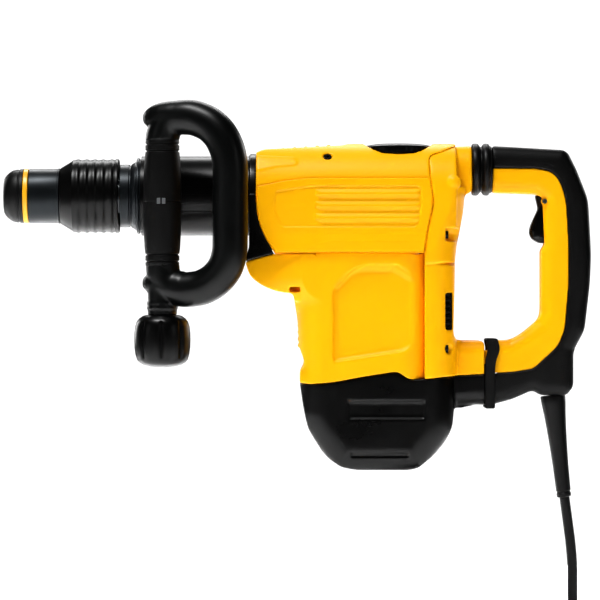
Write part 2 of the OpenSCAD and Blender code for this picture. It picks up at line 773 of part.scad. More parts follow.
module rear_housing() color([1, 0.74, 0.05]) {
    difference() {
        intersection() {
            slab(rear_outline, clear_half);
            union() {
                crown_form(half_w - 1, cover_low - 10, x_flange + 180, 36);
                plan_form(140, 216, half_w - 2.6, 26, -192, -50);
                plan_form(140, 226, half_w - 2.6, 26, -64, 9);
                translate([x_flange + 180, -lower_arm_half, -192]) cube([68, 2 * lower_arm_half, 41]);
                translate([x_flange + 180, 0, arm_z]) rotate([0, 90, 0]) cylinder(h = 60, r = 25);
                translate([x_flange + 180, -25, 1]) cube([60, 50, 27]);
            }
        }
        inner_space();
        rod(x_flange + 180, 3, half_w - 5);
        for (s = [-1, 1])
            translate([vent_x, s * (vent_y + 10) - 10, vent_z]) cube([vent_len + 0.2, 20, vent_h + 0.4]);
        translate([x_flange + 237, -frame_half - 0.6, -190]) cube([20, 2 * frame_half + 1.2, 42]);
        translate([x_flange + 222, 0, arm_z]) rotate([0, 90, 0]) cylinder(h = 20, r = 15);
        at_rear_screws() translate([0, 0, -rear_screw_len - 1])
            cylinder(h = 40, r = screw_r * shank_share + 0.2);
        at_rear_screws() cylinder(h = 60, r = screw_r + 0.8);
        for (s = [-1, 1])
            translate([rear_screw_x, s * (rear_screw_side + 9) - 12, rear_screw_high - 6.8])
                cube([40, 24, 13.6]);
    }
    for (s = [-1, 1]) difference() {
        translate([x_flange + 237, s > 0 ? 9.5 : -14.5, -176]) cube([22, 5, 14]);
        translate([x_flange + pivot[0], -30, pivot[1]]) rotate([-90, 0, 0])
            cylinder(h = 60, r = pivot_d / 2);
    }
}

module vent_inserts() color([0.05, 0.05, 0.05]) {
    for (s = [-1, 1])
        translate([vent_x + 0.1, s * (vent_y + 3.3) - 3.2, vent_z + 0.2]) difference() {
            cube([vent_len, 6.4, vent_h]);
            for (k = [0:louvre_count - 1]) translate([-1, s > 0 ? 3 : -1, 3 + 6 * k])
                cube([vent_len - 1, 4.4, 3.4]);
        }
}

module motor_cap() color([0.05, 0.05, 0.05]) {
    half = half_w - 3.6;
    difference() {
        intersection() {
            slab(cap_outline, clear_half);
            union() {
                plan_form(50, 214, half, 34, -290, -180);
                translate([x_flange + 150, -lower_arm_half, -222]) cube([98, 2 * lower_arm_half, 40]);
            }
        }
        inner_space();
        for (s = [-1, 1]) {
            translate([x_flange + 103, s > 0 ? half - 2.5 : -half - 2.5, -232.5]) cube([80, 5, 19]);
            translate([x_flange + 105, s > 0 ? half - 2 : -half - 3, -273]) cube([61, 5, 6]);
            translate([strap_x - 0.5, s > 0 ? grip_half : -clear_half, -230])
                cube([10, clear_half - grip_half, 50]);
        }
        for (k = [0:6]) translate([x_flange + 96 + 13 * k, -24, -290]) cube([6, 48, 9]);
    }
    race(motor_x, motor_low, 14, 18, 8);
}

module control_dial() color([0.06, 0.06, 0.06]) {
    r = dial_d / 2;
    translate([dial_x, 0, 0]) {
        difference() {
            translate([0, 0, dial_floor]) cylinder(h = crown - dial_floor - 1.6, r = r);
            for (k = [0:dial_scallops - 1])
                rotate([0, 0, 360 / dial_scallops * k]) translate([r + 0.8, 0, 40])
                    cylinder(h = 20, r = 2, $fn = 12);
        }
        translate([0, 0, crown - 1.7]) cylinder(h = 1.7, r1 = r - 1.5, r2 = r - 5);
        translate([0, 0, 36]) cylinder(h = 10, r = dial_stem_r);
    }
}

module cover_screws() color([0.3, 0.3, 0.3]) {
    at_rear_screws() screw(rear_screw_len);
    at_crown_screws() screw(crown_screw_len);
}

// ---- side handle ----
module clamp_band() color("silver") {
    mid = post_x;
    lug_len = -post_y + 7 - barrel_r - 1.2;
    difference() {
        union() {
            rod(mid - band_w / 2, band_w, barrel_r + band_gap + band_t);
            for (z = [-6.5, 1]) translate([mid - 9, post_y - 7, z]) cube([18, lug_len, 5.5]);
        }
        rod(mid - band_w / 2 - 1, band_w + 2, barrel_r + band_gap);
        translate([mid - 20, -barrel_r - 10, -1]) cube([40, 12, 2]);
        post(post_x, -60, 120, bolt_d / 2 + 0.1, post_y);
    }
}

module clamp_bolt() color("silver") {
    post(post_x, knob_top - knob_h + 14, 7 - knob_top + knob_h - 14, bolt_d / 2, post_y);
    translate([post_x, post_y, 6.6]) cylinder(h = 7, r = bolt_head_r, $fn = 6);
}

// Quarter bend in the loop's plane, from the angle given
module bend(u, z, r, from) {
    translate([u, 0, z]) rotate([90, 0, 0]) rotate([0, 0, from])
        rotate_extrude(angle = 90) translate([r, 0]) circle(loop_r);
}

module in_loop_plane() translate([post_x, post_y, 0]) rotate([0, 0, -loop_lean]) children();

module loop_handle() color([0.07, 0.07, 0.07]) {
    difference() {
        union() {
            in_loop_plane() {
                translate([0, 0, loop_low + bend_front]) cylinder(h = stub_low, r = loop_r);
                translate([0, 0, loop_top - bend_front - stub_top])
                    cylinder(h = stub_top, r = loop_r);
                bend(bend_front, loop_top - bend_front, bend_front, 90);
                bend(bend_front, loop_low + bend_front, bend_front, 180);
                bend(loop_span - bend_rear_top, loop_top - bend_rear_top, bend_rear_top, 0);
                bend(loop_span - bend_rear_low, loop_low + bend_rear_low, bend_rear_low, 270);
                translate([loop_span, 0, loop_low + bend_rear_low])
                    cylinder(h = loop_top - loop_low - bend_rear_top - bend_rear_low, r = loop_r);
                translate([bend_front, 0, loop_top]) rotate([0, 90, 0])
                    cylinder(h = loop_span - bend_front - bend_rear_top, r = loop_r);
                translate([bend_front, 0, loop_low]) rotate([0, 90, 0])
                    cylinder(h = loop_span - bend_front - bend_rear_low, r = loop_r);
            }
            post(post_x, knob_top + 0.6, loop_low - knob_top + 4, 15, post_y);
            post(post_x, knob_top + 9, 3.4, 16, post_y);
        }
        post(post_x, knob_top - 1, 100, bolt_d / 2 + 0.3, post_y);
    }
}

module front_grip() color([0.1, 0.1, 0.1]) {
    low = loop_low + bend_front + stub_low;
    high = loop_top - bend_front - stub_top;
    difference() {
        union() {
            post(post_x, low + 0.3, high - low - 0.6, loop_r, post_y);
            for (z = [low + 4, low + 10, high - 12, high - 6]) post(post_x, z, 2.4, loop_r + 0.5, post_y);
        }
        post(post_x, low - 10, 200, bolt_d / 2 + 0.3, post_y);
        translate([post_x - bolt_head_r - 1.1, post_y - bolt_head_r - 1, -7.2])
            cube([2 * bolt_head_r + 2.2, 60, 23]);
    }
}

module clamp_knob() color([0.06, 0.06, 0.06]) {
    r = knob_d / 2;
    translate([post_x, post_y, 0]) difference() {
        rotate_extrude() polygon([
            [bolt_d / 2 + 0.1, knob_top], [18, knob_top], [r - 5, knob_top - 4], [r - 1.2, knob_top - 10],
            [r - 0.2, knob_top - 18], [r, knob_top - 26],
            [r - 0.8, knob_top - 38], [r - 3.6, knob_top - 47],
            [r - 10, knob_top - 52], [10, knob_top - knob_h],
            [0, knob_top - knob_h], [0, knob_top - knob_h + 13],
            [bolt_d / 2 + 0.1, knob_top - knob_h + 13],
        ]);
        for (k = [0:knob_flutes - 1])
            rotate([0, 0, 360 / knob_flutes * (k + 0.5)]) translate([r + 5, 0, knob_top - 44])
                cylinder(h = 30, r = 8);
    }
}

// ---- rear handle ----
module handle_cavities() {
    translate([x_flange, trigger_half + 1, 0]) rotate([90, 0, 0])
        linear_extrude(2 * trigger_half + 2) polygon([
        [290, 1], [290, -52], [320, -52], [323, -48], [323, 1.2],
    ]);
    translate([x_flange + 266, -13, 6]) cube([46, 26, 18]);
    translate([x_flange + pivot[0] - 20, -30, pivot[1] - 60]) cube([24.4, 60, 120]);
}

// One half of the frame; sign is -1 for the left half and 1 for the right
module handle_frame(sign) color([1, 0.74, 0.05]) {
    difference() {
        intersection() {
            slab(frame_outline, frame_half);
            translate([x_flange, sign > 0 ? half_gap : -clear_half, -400])
                cube([400, clear_half - half_gap, 500]);
        }
        handle_cavities();
        translate([x_flange + trigger_pivot[0], -30, trigger_pivot[1]]) rotate([-90, 0, 0])
            cylinder(h = 60, r = trigger_pin_r);
        at_handle_screws() cylinder(h = 10, r = screw_r + seat_gap);
        at_handle_screws() translate([0, 0, -handle_screw_len - 1])
            cylinder(h = handle_screw_len + 2, r = screw_r * shank_share + 0.2);
    }
    difference() {
        translate([x_flange + pivot[0] - 6.5, sign > 0 ? half_gap : -7.5, pivot[1] - 6.5])
            cube([17, 7.5 - half_gap, 13]);
        translate([x_flange + pivot[0], -30, pivot[1]]) rotate([-90, 0, 0])
            cylinder(h = 60, r = pivot_d / 2 + pin_gap);
    }
}

module handle_left() handle_frame(-1);
module handle_right() handle_frame(1);

module rear_grip() color([0.06, 0.06, 0.06]) {
    difference() {
        slab(grip_outline, grip_half);
        translate([x_flange + boot_top[0], 0, -230]) cylinder(h = 34, r = 9);
    }
}

module handle_screws() color([0.25, 0.25, 0.25]) at_handle_screws() screw(handle_screw_len);

module bellows() color([0.05, 0.05, 0.05]) {
    gap = 233.3;
    translate([x_flange + gap, 0, arm_z - 0.3]) rotate([0, 90, 0]) rotate_extrude() polygon([
        [21, 0], [26.4, 0], [27.4, 2], [27.4, 6], [26, 8.2], [23.6, 9.2], [26, 10.2], [27.4, 12.4],
        [27.4, 16.4], [26, 18.4], [24.4, 20.8], [21, 20.8], [22.6, 14.4], [19.8, 9.2], [22.6, 4],
    ]);
}

module damper_spring() color("silver") {
    translate([x_flange + 224, 0, arm_z]) tube(helix(28.4, 11, 4, 12), 1.5, 6, [1, 0, 0]);
}

// Side outline of the strap between two stations and two heights
function strap_form(front, back, low, high) =
    [[front, low, 2], [back, low, 2], [back, high, 3], [front, high, 3]];

module strap_seal() color([0.05, 0.05, 0.05]) {
    difference() {
        slab(strap_form(246.5, 259.8, -222.6, -149.2), grip_half + 2.6);
        slab(strap_form(240, 268, -220.8, -151.6), grip_half + 0.6);
    }
}

module pivot_pin() color("silver") {
    translate([x_flange + pivot[0], -frame_half + 1, pivot[1]]) rotate([-90, 0, 0])
        cylinder(h = 2 * frame_half - 2, r = pivot_d / 2);
}

module power_switch() color([0.15, 0.15, 0.17]) {
    translate([x_flange + 267, -12, 7]) cube([44, 24, 16]);
    translate([x_flange + 318.8, -8, -40]) cube([3.8, 16, 14]);
}

module trigger() color([0.05, 0.05, 0.05]) {
    difference() {
        slab(trigger_outline, trigger_half);
        translate([x_flange + trigger_pivot[0], -30, trigger_pivot[1]]) rotate([-90, 0, 0])
            cylinder(h = 60, r = trigger_pin_r + pin_gap);
    }
}

module trigger_pin() color("silver") {
    translate([x_flange + trigger_pivot[0], -frame_half + 2, trigger_pivot[1]]) rotate([-90, 0, 0])
        cylinder(h = 2 * frame_half - 4, r = trigger_pin_r);
}

// ---- cord ----
module cord_boot() color([0.05, 0.05, 0.05]) {
    run = boot_tip - boot_top;
    long = norm(run);
    translate([x_flange + boot_top[0], 0, boot_top[1]]) rotate([0, 180 - atan2(run[0], -run[1]), 0]) {
        rotate_extrude() polygon([
            [0, 0.1], [13.2, 1.6], [12.6, 10], [11.2, 22], [10.6, 23], [10.6, 26], [9.8, 27], [9.4, 50],
            [8.8, 51], [8.8, 54], [8.2, 55], [7.9, 78], [7.4, 79],
            [7.2, long - 0.4], [6.4, long], [0, long],
        ]);
    }
}

module cord() color([0.05, 0.05, 0.05]) tube(hanging_route, cord_d / 2, 10, [1, 0, 0]);

module cord_tail() color([0.05, 0.05, 0.05]) tube(tail_route, cord_d / 2, 10, [1, 0, 0]);

module cord_coil() color([0.05, 0.05, 0.05]) {
    r = cord_d / 2;
    translate([coil_x, coil_y, coil_z]) rotate_extrude() polygon(rounded([
        [coil_in - r, 0, 4], [coil_out + r, 0, 4], [coil_out + r, 4 * r, 4], [coil_in - r, 4 * r, 4],
    ]));
}

module cord_tie() color([0.2, 0.2, 0.2]) {
    r = cord_d / 2;
    translate([coil_x, coil_y, 0]) rotate([0, 0, 215]) difference() {
        translate([coil_in - r - 3.2, -8, ground])
            cube([coil_out - coil_in + 2 * r + 5.6, 16, 4 * r + 3.8]);
        translate([coil_in - r - 1.5, -9, ground + 1.7])
            cube([coil_out - coil_in + 2 * r + 2.2, 18, 4 * r + 0.6]);
    }
}

// Places of the plug's pins, with Z pointing out of the plug
module at_plug_pins() {
    for (s = [-1, 1])
        translate([tail_route[0][0] + s * plug_pin_pitch / 2, plug_y + pin_seat, ground + plug_r])
            rotate([-90, 0, 0]) children();
}

module plug_body() color([0.06, 0.06, 0.06]) {
    difference() {
        translate([tail_route[0][0], plug_y, ground + plug_r]) rotate([-90, 0, 0]) rotate_extrude()
            polygon([
            [0, 0], [7, 0], [8, 10], [9, 24], [14, 29], [17, 36],
            [17.4, 44], [plug_r, 52], [plug_r, 66], [17, 68],
            [0, 68],
        ]);
        at_plug_pins() cylinder(h = 30, r = plug_pin_d / 2);
    }
}

module plug_pins() color("silver") at_plug_pins() cylinder(h = 31, r = plug_pin_d / 2);

nose_cap();
accent_ring();
nose_collar();
tool_holder();
locking_rollers();
locking_sleeve();
sleeve_spring();
neck_ring();
barrel();
barrel_flange();
beat_guide();
beat_piece();
hammer_cylinder();  // cylinder
ram();
piston();
wrist_pin();
con_rod();
crank_gear();
crank_pin();
gear_case();
ball_bearings();
motor_shaft();
armature_core();
commutator();
cooling_fan();
stator();
brush_holders();
upper_housing();
side_cover_left();
side_cover_right();
motor_housing();
rear_housing();
vent_inserts();
motor_cap();
control_dial();
cover_screws();
clamp_band();
clamp_bolt();
loop_handle();
front_grip();
clamp_knob();
handle_left();
handle_right();
rear_grip();
handle_screws();
bellows();
damper_spring();
strap_seal();
pivot_pin();
power_switch();
trigger();
trigger_pin();
cord_boot();
cord();
cord_coil();
cord_tail();
cord_tie();
plug_body();
plug_pins();
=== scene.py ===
"""Looks of the demolition hammer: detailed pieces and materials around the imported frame."""
import json
import math

import bmesh
import bpy
from mathutils import Matrix, Vector


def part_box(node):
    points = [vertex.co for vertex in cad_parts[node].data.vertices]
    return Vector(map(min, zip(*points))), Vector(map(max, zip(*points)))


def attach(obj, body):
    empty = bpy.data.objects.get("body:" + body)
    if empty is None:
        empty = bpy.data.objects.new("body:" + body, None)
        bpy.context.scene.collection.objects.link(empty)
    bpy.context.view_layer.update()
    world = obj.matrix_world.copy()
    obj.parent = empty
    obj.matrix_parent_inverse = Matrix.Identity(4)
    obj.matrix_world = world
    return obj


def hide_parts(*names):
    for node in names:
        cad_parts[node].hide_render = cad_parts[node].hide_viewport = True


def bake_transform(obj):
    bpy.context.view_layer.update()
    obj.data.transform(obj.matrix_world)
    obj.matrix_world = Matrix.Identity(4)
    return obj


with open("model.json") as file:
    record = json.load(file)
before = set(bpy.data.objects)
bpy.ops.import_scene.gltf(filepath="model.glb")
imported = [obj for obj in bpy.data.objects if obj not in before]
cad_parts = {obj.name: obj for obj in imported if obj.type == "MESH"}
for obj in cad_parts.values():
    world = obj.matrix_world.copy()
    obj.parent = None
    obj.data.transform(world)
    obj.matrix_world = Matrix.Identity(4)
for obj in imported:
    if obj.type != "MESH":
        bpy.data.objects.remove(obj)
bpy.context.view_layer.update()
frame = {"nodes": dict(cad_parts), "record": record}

# Shapes are worked out in millimetres and scaled to metres when a piece is finished
MM = 0.001
scene = bpy.context.scene

# ---- the stage's sizes, in metres, millimetres of lens and watts ----
CAMERA_PLACE, CAMERA_LENS = (0.3108, -3.8, -0.1092), 217.1
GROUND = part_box("cord_tie")[0].z
FLOOR_HALF, FLOOR_GAP = 1.3, 0.0005
FLOOR_SUN, SKY_LIGHT = 3.0, 0.05
LAMPS_AIM = (0.31, 0, -0.1)
# Place, width, height and power. They stand well off the line of sight, so flat black faces reflect the dark
SOFTBOXES = {
    "key": ((-0.35, -0.8, 2.4), 1.2, 0.35, 72),
    "left": ((-2.3, -1.5, 0.6), 0.15, 1.2, 3),
    "right": ((2.4, -1.9, 0.7), 0.4, 1.3, 3.5),
    "rim": ((0.3, 1.6, 1.4), 1.6, 0.8, 20),
    "back_left": ((-1.6, 2.2, 0.4), 0.8, 1.2, 18),
    "back_right": ((2.2, 2.0, 0.5), 0.8, 1.2, 18),
}


# ---- materials ----
def linear(hex_colour):
    """sRGB hex to the linear colour that shaders take."""
    channels = [int(hex_colour[i : i + 2], 16) / 255 for i in (0, 2, 4)]
    return [c / 12.92 if c <= 0.04045 else ((c + 0.055) / 1.055) ** 2.4 for c in channels] + [1.0]


def add(tree, kind, links=None, values=None, **settings):
    """Adds one node with its settings, its input values and its links."""
    made = tree.nodes.new(kind)
    for key, value in settings.items():
        setattr(made, key, value)
    for key, value in (values or {}).items():
        made.inputs[key].default_value = value
    for key, socket in (links or {}).items():
        tree.links.new(socket, made.inputs[key])
    return made


def surface(name, colour, roughness, grain_mm, grain_depth, mottle, metallic=0.0, specular=0.5,
            stretch=(1, 1, 1), grain_kind="noise"):
    """A moulded, cast or ground surface: a grain in the bump, and slow changes of colour and roughness."""
    material = bpy.data.materials.new(name)
    material.use_nodes = True
    tree = material.node_tree
    tree.nodes.clear()
    place = add(tree, "ShaderNodeTexCoord")
    turned = add(tree, "ShaderNodeMapping", {"Vector": place.outputs["Object"]}, {"Scale": stretch})
    where = turned.outputs["Vector"]
    # Colour and roughness drift over about 45 mm
    slow = add(tree, "ShaderNodeTexNoise", {"Vector": where},
               {"Scale": 22.0, "Detail": 4.0, "Roughness": 0.6})
    grain = {"Scale": 1 / (grain_mm * MM)}
    if grain_kind == "noise":
        fine = add(tree, "ShaderNodeTexNoise", {"Vector": where}, {**grain, "Detail": 2.0})
        height = fine.outputs["Fac"]
    else:
        fine = add(tree, "ShaderNodeTexVoronoi", {"Vector": where}, grain)
        height = fine.outputs["Distance"]
    bump = add(tree, "ShaderNodeBump", {"Height": height}, {"Strength": 0.5, "Distance": grain_depth * MM})
    dark = [c * (1 - mottle) for c in linear(colour)[:3]] + [1.0]
    light = [min(1.0, c * (1 + mottle)) for c in linear(colour)[:3]] + [1.0]
    # A Mix node's colour sockets come after those for numbers and vectors
    tint = add(tree, "ShaderNodeMix", {"Factor": slow.outputs["Fac"]}, data_type="RGBA")
    tint.inputs[6].default_value, tint.inputs[7].default_value = dark, light
    rough = add(tree, "ShaderNodeMapRange", {"Value": slow.outputs["Fac"]},
                {"From Min": 0.3, "From Max": 0.7, "To Min": roughness[0], "To Max": roughness[1]})
    shader = add(
        tree, "ShaderNodeBsdfPrincipled",
        {"Base Color": tint.outputs[2], "Roughness": rough.outputs["Result"],
         "Normal": bump.outputs["Normal"]},
        {"Metallic": metallic, "IOR": 1.5, "Specular IOR Level": specular},
    )
    add(tree, "ShaderNodeOutputMaterial", {"Surface": shader.outputs["BSDF"]})
    return material


# Glass-filled nylon in safety yellow, spark-eroded mould: a fine matt grain with soft highlights
YELLOW_NYLON = surface("yellow_nylon_moulded", "FFB705", (0.34, 0.44), 0.7, 0.05, mottle=0.035, specular=0.16)
# The same nylon in black: slightly shinier on its broad faces
BLACK_NYLON = surface("black_nylon_moulded", "030303", (0.26, 0.36), 0.7, 0.05, mottle=0.2, specular=0.22)
# Soft TPE overmould: dull, with the pebbled texture of a grip, drawn about 1.3 mm coarse so that it shows
GRIP_TPE = surface("grip_tpe_pebbled", "030303", (0.45, 0.58), 1.3, 0.22, mottle=0.2, grain_kind="cells",
                   specular=0.2)
# Smooth TPE of the loop handle: satin, long soft highlights
LOOP_TPE = surface("loop_tpe_satin", "020303", (0.32, 0.42), 0.8, 0.05, mottle=0.2, specular=0.25)
# Nitrile rubber of the bellows, strap, cap and boot: dark, slightly waxy
NITRILE = surface("nitrile_rubber_moulded", "040404", (0.38, 0.5), 0.6, 0.04, mottle=0.2, specular=0.22)
# Chloroprene sheath of the cord: even, dull black
CHLOROPRENE = surface("chloroprene_sheath", "060606", (0.45, 0.55), 0.5, 0.04, mottle=0.15, specular=0.25)
# Orange-yellow ring of the nose, plain moulded acetal
ACETAL_YELLOW = surface("yellow_acetal", "F2B01C", (0.3, 0.4), 0.6, 0.03, mottle=0.04)
# Black anodised and oiled metal of the barrel: dark, with soft bright streaks where it turns to the light
ANODISED_BLACK = surface("black_anodised_aluminium", "191D20", (0.3, 0.4), 0.5, 0.03, mottle=0.15,
                         metallic=0.6, specular=0.4)
# Hardened, ground steel
GROUND_STEEL = surface("ground_steel", "8E9296", (0.22, 0.36), 0.25, 0.01, mottle=0.1, metallic=1.0,
                       stretch=(6, 1, 1))
# Zinc-plated steel of the band and bolt
ZINC_STEEL = surface("zinc_plated_steel", "A7AAAC", (0.28, 0.42), 0.6, 0.02, mottle=0.12, metallic=1.0)
# Die-cast aluminium, shot blasted
CAST_ALUMINIUM = surface("cast_aluminium", "9A9C9F", (0.45, 0.6), 0.6, 0.05, mottle=0.1, metallic=1.0)
# Black-oxide screws
BLACK_OXIDE = surface("black_oxide_steel", "1B1C1E", (0.3, 0.42), 0.3, 0.02, mottle=0.15, metallic=0.9)
# Drawn spring wire
SPRING_WIRE = surface("drawn_spring_wire", "77797C", (0.25, 0.4), 0.3, 0.01, mottle=0.1, metallic=1.0)
# Varnished laminations of the motor, whose thin plates show as lines across it
LAMINATIONS = surface("varnished_laminations", "3A3632", (0.3, 0.45), 0.5, 0.05, mottle=0.2, metallic=0.7,
                      stretch=(1, 1, 8))
# Turned commutator copper, and stamped brass
COPPER = surface("turned_copper", "B4703C", (0.25, 0.4), 0.3, 0.02, mottle=0.1, metallic=1.0)
BRASS = surface("stamped_brass", "B8924A", (0.3, 0.45), 0.4, 0.02, mottle=0.1, metallic=1.0)
# Phenolic body of the switch: dark brown-black, hard and half dull
PHENOLIC = surface("phenolic_switch_body", "17181A", (0.35, 0.5), 0.5, 0.03, mottle=0.15)

SLOT_FINISH = {
    "black_shell": BLACK_NYLON, "yellow_shell": YELLOW_NYLON, "accent_yellow": ACETAL_YELLOW,
    "grip_rubber": GRIP_TPE, "seal_rubber": NITRILE, "cord_rubber": CHLOROPRENE, "hard_steel": GROUND_STEEL,
    "zinc_steel": ZINC_STEEL, "black_metal": ANODISED_BLACK, "cast_aluminium": CAST_ALUMINIUM,
    "spring_steel": SPRING_WIRE, "laminated_iron": LAMINATIONS, "copper_parts": COPPER, "brass_parts": BRASS,
    "screw_black": BLACK_OXIDE, "switch_plastic": PHENOLIC,
}


# ---- the stage: camera, floor and light ----
def set_camera():
    """A long lens level with the middle of the tool, on its left side."""
    data = bpy.data.cameras.new("camera")
    data.sensor_width = 36.0
    data.lens = CAMERA_LENS
    data.clip_end = 50.0
    camera = bpy.data.objects.new("camera", data)
    scene.collection.objects.link(camera)
    camera.location = CAMERA_PLACE
    camera.rotation_euler = (math.radians(90), 0, 0)
    scene.camera = camera


def softbox(name, place, width, height, power):
    data = bpy.data.lights.new(name, "AREA")
    data.shape, data.size, data.size_y, data.energy = "RECTANGLE", width, height, power
    lamp = bpy.data.objects.new(name, data)
    scene.collection.objects.link(lamp)
    lamp.location = place
    lamp.rotation_euler = (Vector(LAMPS_AIM) - lamp.location).to_track_quat("-Z", "Y").to_euler()


def set_floor():
    """A wide white floor under the coil, with a broad light of its own that keeps it white."""
    bm = bmesh.new()
    bmesh.ops.create_grid(bm, x_segments=1, y_segments=1, size=FLOOR_HALF)
    mesh = bpy.data.meshes.new("floor")
    bm.to_mesh(mesh)
    bm.free()
    floor = bpy.data.objects.new("floor", mesh)
    scene.collection.objects.link(floor)
    mesh.transform(Matrix.Translation((0, 0, GROUND - FLOOR_GAP)))
    paper = surface("white_paper", "F7F7F7", (0.85, 0.95), 2.0, 0.01, mottle=0.01, specular=0.1)
    mesh.materials.append(paper)
    lit_floor = bpy.data.collections.new("floor_only")
    lit_floor.objects.link(floor)
    sun = bpy.data.lights.new("floor_light", "SUN")
    sun.energy, sun.angle = FLOOR_SUN, math.radians(60)
    lamp = bpy.data.objects.new("floor_light", sun)
    scene.collection.objects.link(lamp)
    lamp.light_linking.receiver_collection = lit_floor


def set_sky():
    """White where it is seen, and dim where it lights the tool or is reflected, so black parts stay black."""
    world = bpy.data.worlds.new("studio")
    world.use_nodes = True
    tree = world.node_tree
    tree.nodes.clear()
    ray = add(tree, "ShaderNodeLightPath")
    strength = add(tree, "ShaderNodeMapRange", {"Value": ray.outputs["Is Camera Ray"]},
                   {"To Min": SKY_LIGHT, "To Max": 1.0})
    sky = add(tree, "ShaderNodeBackground", {"Strength": strength.outputs["Result"]}, {"Color": (1, 1, 1, 1)})
    add(tree, "ShaderNodeOutputWorld", {"Surface": sky.outputs["Background"]})
    scene.world = world
    scene.view_settings.view_transform = "Standard"
    scene.view_settings.look = "Medium High Contrast"


set_camera()
set_floor()
set_sky()
for lamp_name, lamp_set in SOFTBOXES.items():
    softbox(lamp_name, *lamp_set)


# ---- shared ways of making a piece ----
ALONG_X = Matrix.Rotation(math.radians(90), 4, "Y")
ALONG_Y = Matrix.Rotation(math.radians(90), 4, "X")
CORNER_STEPS = 4
FLAT_SHARE = 0.45


def span(node):
    """Lowest and highest corners of a CAD node in millimetres."""
    low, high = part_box(node)
    return low / MM, high / MM


def finish(name, bm, body, material, stands_for=(), slot=None, bevel=0.0, crease=35):
    """Turns a bmesh in millimetres into a piece at the origin that rides on a body."""
    bmesh.ops.remove_doubles(bm, verts=bm.verts, dist=0.001)
    bmesh.ops.recalc_face_normals(bm, faces=bm.faces)
    bmesh.ops.transform(bm, matrix=Matrix.Scale(MM, 4), verts=bm.verts)
    mesh = bpy.data.meshes.new(name)
    bm.to_mesh(mesh)
    bm.free()
    piece = bpy.data.objects.new(name, mesh)
    scene.collection.objects.link(piece)
    mesh.materials.append(material)
    mesh.shade_smooth()
    if bevel:
        rounding = piece.modifiers.new("edge_rounding", "BEVEL")
        rounding.width, rounding.segments = bevel * MM, 3
        rounding.limit_method, rounding.angle_limit = "ANGLE", math.radians(crease)
        rounding.harden_normals = True
    else:
        mesh.set_sharp_from_angle(angle=math.radians(crease))
    if body:
        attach(piece, body)
    if stands_for:
        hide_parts(*stands_for)
    return piece


def bake_modifiers(piece):
    """Applies a piece's modifiers to its mesh."""
    bpy.context.view_layer.update()
    shape = piece.evaluated_get(bpy.context.evaluated_depsgraph_get())
    mesh = bpy.data.meshes.new_from_object(shape)
    piece.modifiers.clear()
    piece.data = mesh


def spun(bm, profile, steps=96):
    """Turns a closed profile of (along, radius) about Z."""
    verts = [bm.verts.new((radius, 0, along)) for along, radius in profile]
    edges = [bm.edges.new(pair) for pair in zip(verts, verts[1:] + verts[:1])]
    bmesh.ops.spin(bm, geom=verts + edges, axis=(0, 0, 1), cent=(0, 0, 0), angle=math.tau, steps=steps,
                   use_merge=True, use_duplicate=False)
    bmesh.ops.remove_doubles(bm, verts=bm.verts, dist=0.0005)


def lathe(name, profile, body, material, place=ALONG_X, steps=96, bevel=0.4, **rest):
    bm = bmesh.new()
    spun(bm, profile, steps)
    bmesh.ops.transform(bm, matrix=place, verts=bm.verts)
    return finish(name, bm, body, material, bevel=bevel, **rest)


def rod(bm, radius, long, place, segments=24):
    """A round bar along Z of its place, to be merged into a larger piece."""
    made = bmesh.ops.create_cone(bm, cap_ends=True, segments=segments, radius1=radius, radius2=radius,
                                 depth=long)["verts"]
    bmesh.ops.transform(bm, matrix=place, verts=made)


def curve_through(points, steps):
    """Points on a smooth curve through the given ones, by Catmull and Rom's rule."""
    last = len(points) - 1
    vectors = [Vector(p) for p in points]
    out = []
    for i in range(last):
        a, b, c, d = (vectors[min(max(i + k, 0), last)] for k in (-1, 0, 1, 2))
        for s in range(steps):
            t = s / steps
            out.append(0.5 * (2 * b + (c - a) * t + (2 * a - 5 * b + 4 * c - d) * t * t
                              + (3 * b - a - 3 * c + d) * t**3))
    return out + [vectors[-1]]


def joined_rings(bm, rings):
    """Bridges a list of vertex rings into one skin, closed at both ends."""
    loops = [list({e for v in ring for e in v.link_edges}) for ring in rings]
    bmesh.ops.contextual_create(bm, geom=loops[0])
    bmesh.ops.contextual_create(bm, geom=loops[-1])
    for first, second in zip(loops, loops[1:]):
        bmesh.ops.bridge_loops(bm, edges=first + second)


def swept(bm, path, radii, sides=32):
    """A round tube along a path, with a radius at each point."""
    rings = []
    for i, point in enumerate(path):
        after, before = path[min(i + 1, len(path) - 1)], path[max(i - 1, 0)]
        turn = (after - before).to_track_quat("Z", "Y").to_matrix().to_4x4()
        ring = bmesh.ops.create_circle(bm, segments=sides, radius=radii[i])["verts"]
        bmesh.ops.transform(bm, matrix=Matrix.Translation(point) @ turn, verts=ring)
        rings.append(ring)
    joined_rings(bm, rings)


def rounded_outline(points):
    """Outline with its corners rounded: points are (along, up, rounding)."""
    out = []
    for i, (x, z, r) in enumerate(points):
        here, before = Vector((x, z)), Vector(points[i - 1][:2])
        after = Vector(points[(i + 1) % len(points)][:2])
        reach = min(r, 0.45 * (before - here).length, 0.45 * (after - here).length)
        start, end = here + (before - here).normalized() * reach, here + (after - here).normalized() * reach
        for s in range(CORNER_STEPS + 1):
            t = s / CORNER_STEPS
            out.append(start * (1 - t) ** 2 + here * 2 * t * (1 - t) + end * t * t)
    return out


def slab(bm, outline, low_y, high_y):
    """A flat piece of the given side outline between two planes."""
    verts = [bm.verts.new((p.x, low_y, p.y)) for p in rounded_outline(outline)]
    face = bm.faces.new(verts)
    grown = bmesh.ops.extrude_face_region(bm, geom=[face])["geom"]
    moved = [g for g in grown if isinstance(g, bmesh.types.BMVert)]
    bmesh.ops.translate(bm, vec=(0, high_y - low_y, 0), verts=moved)
    return verts + moved


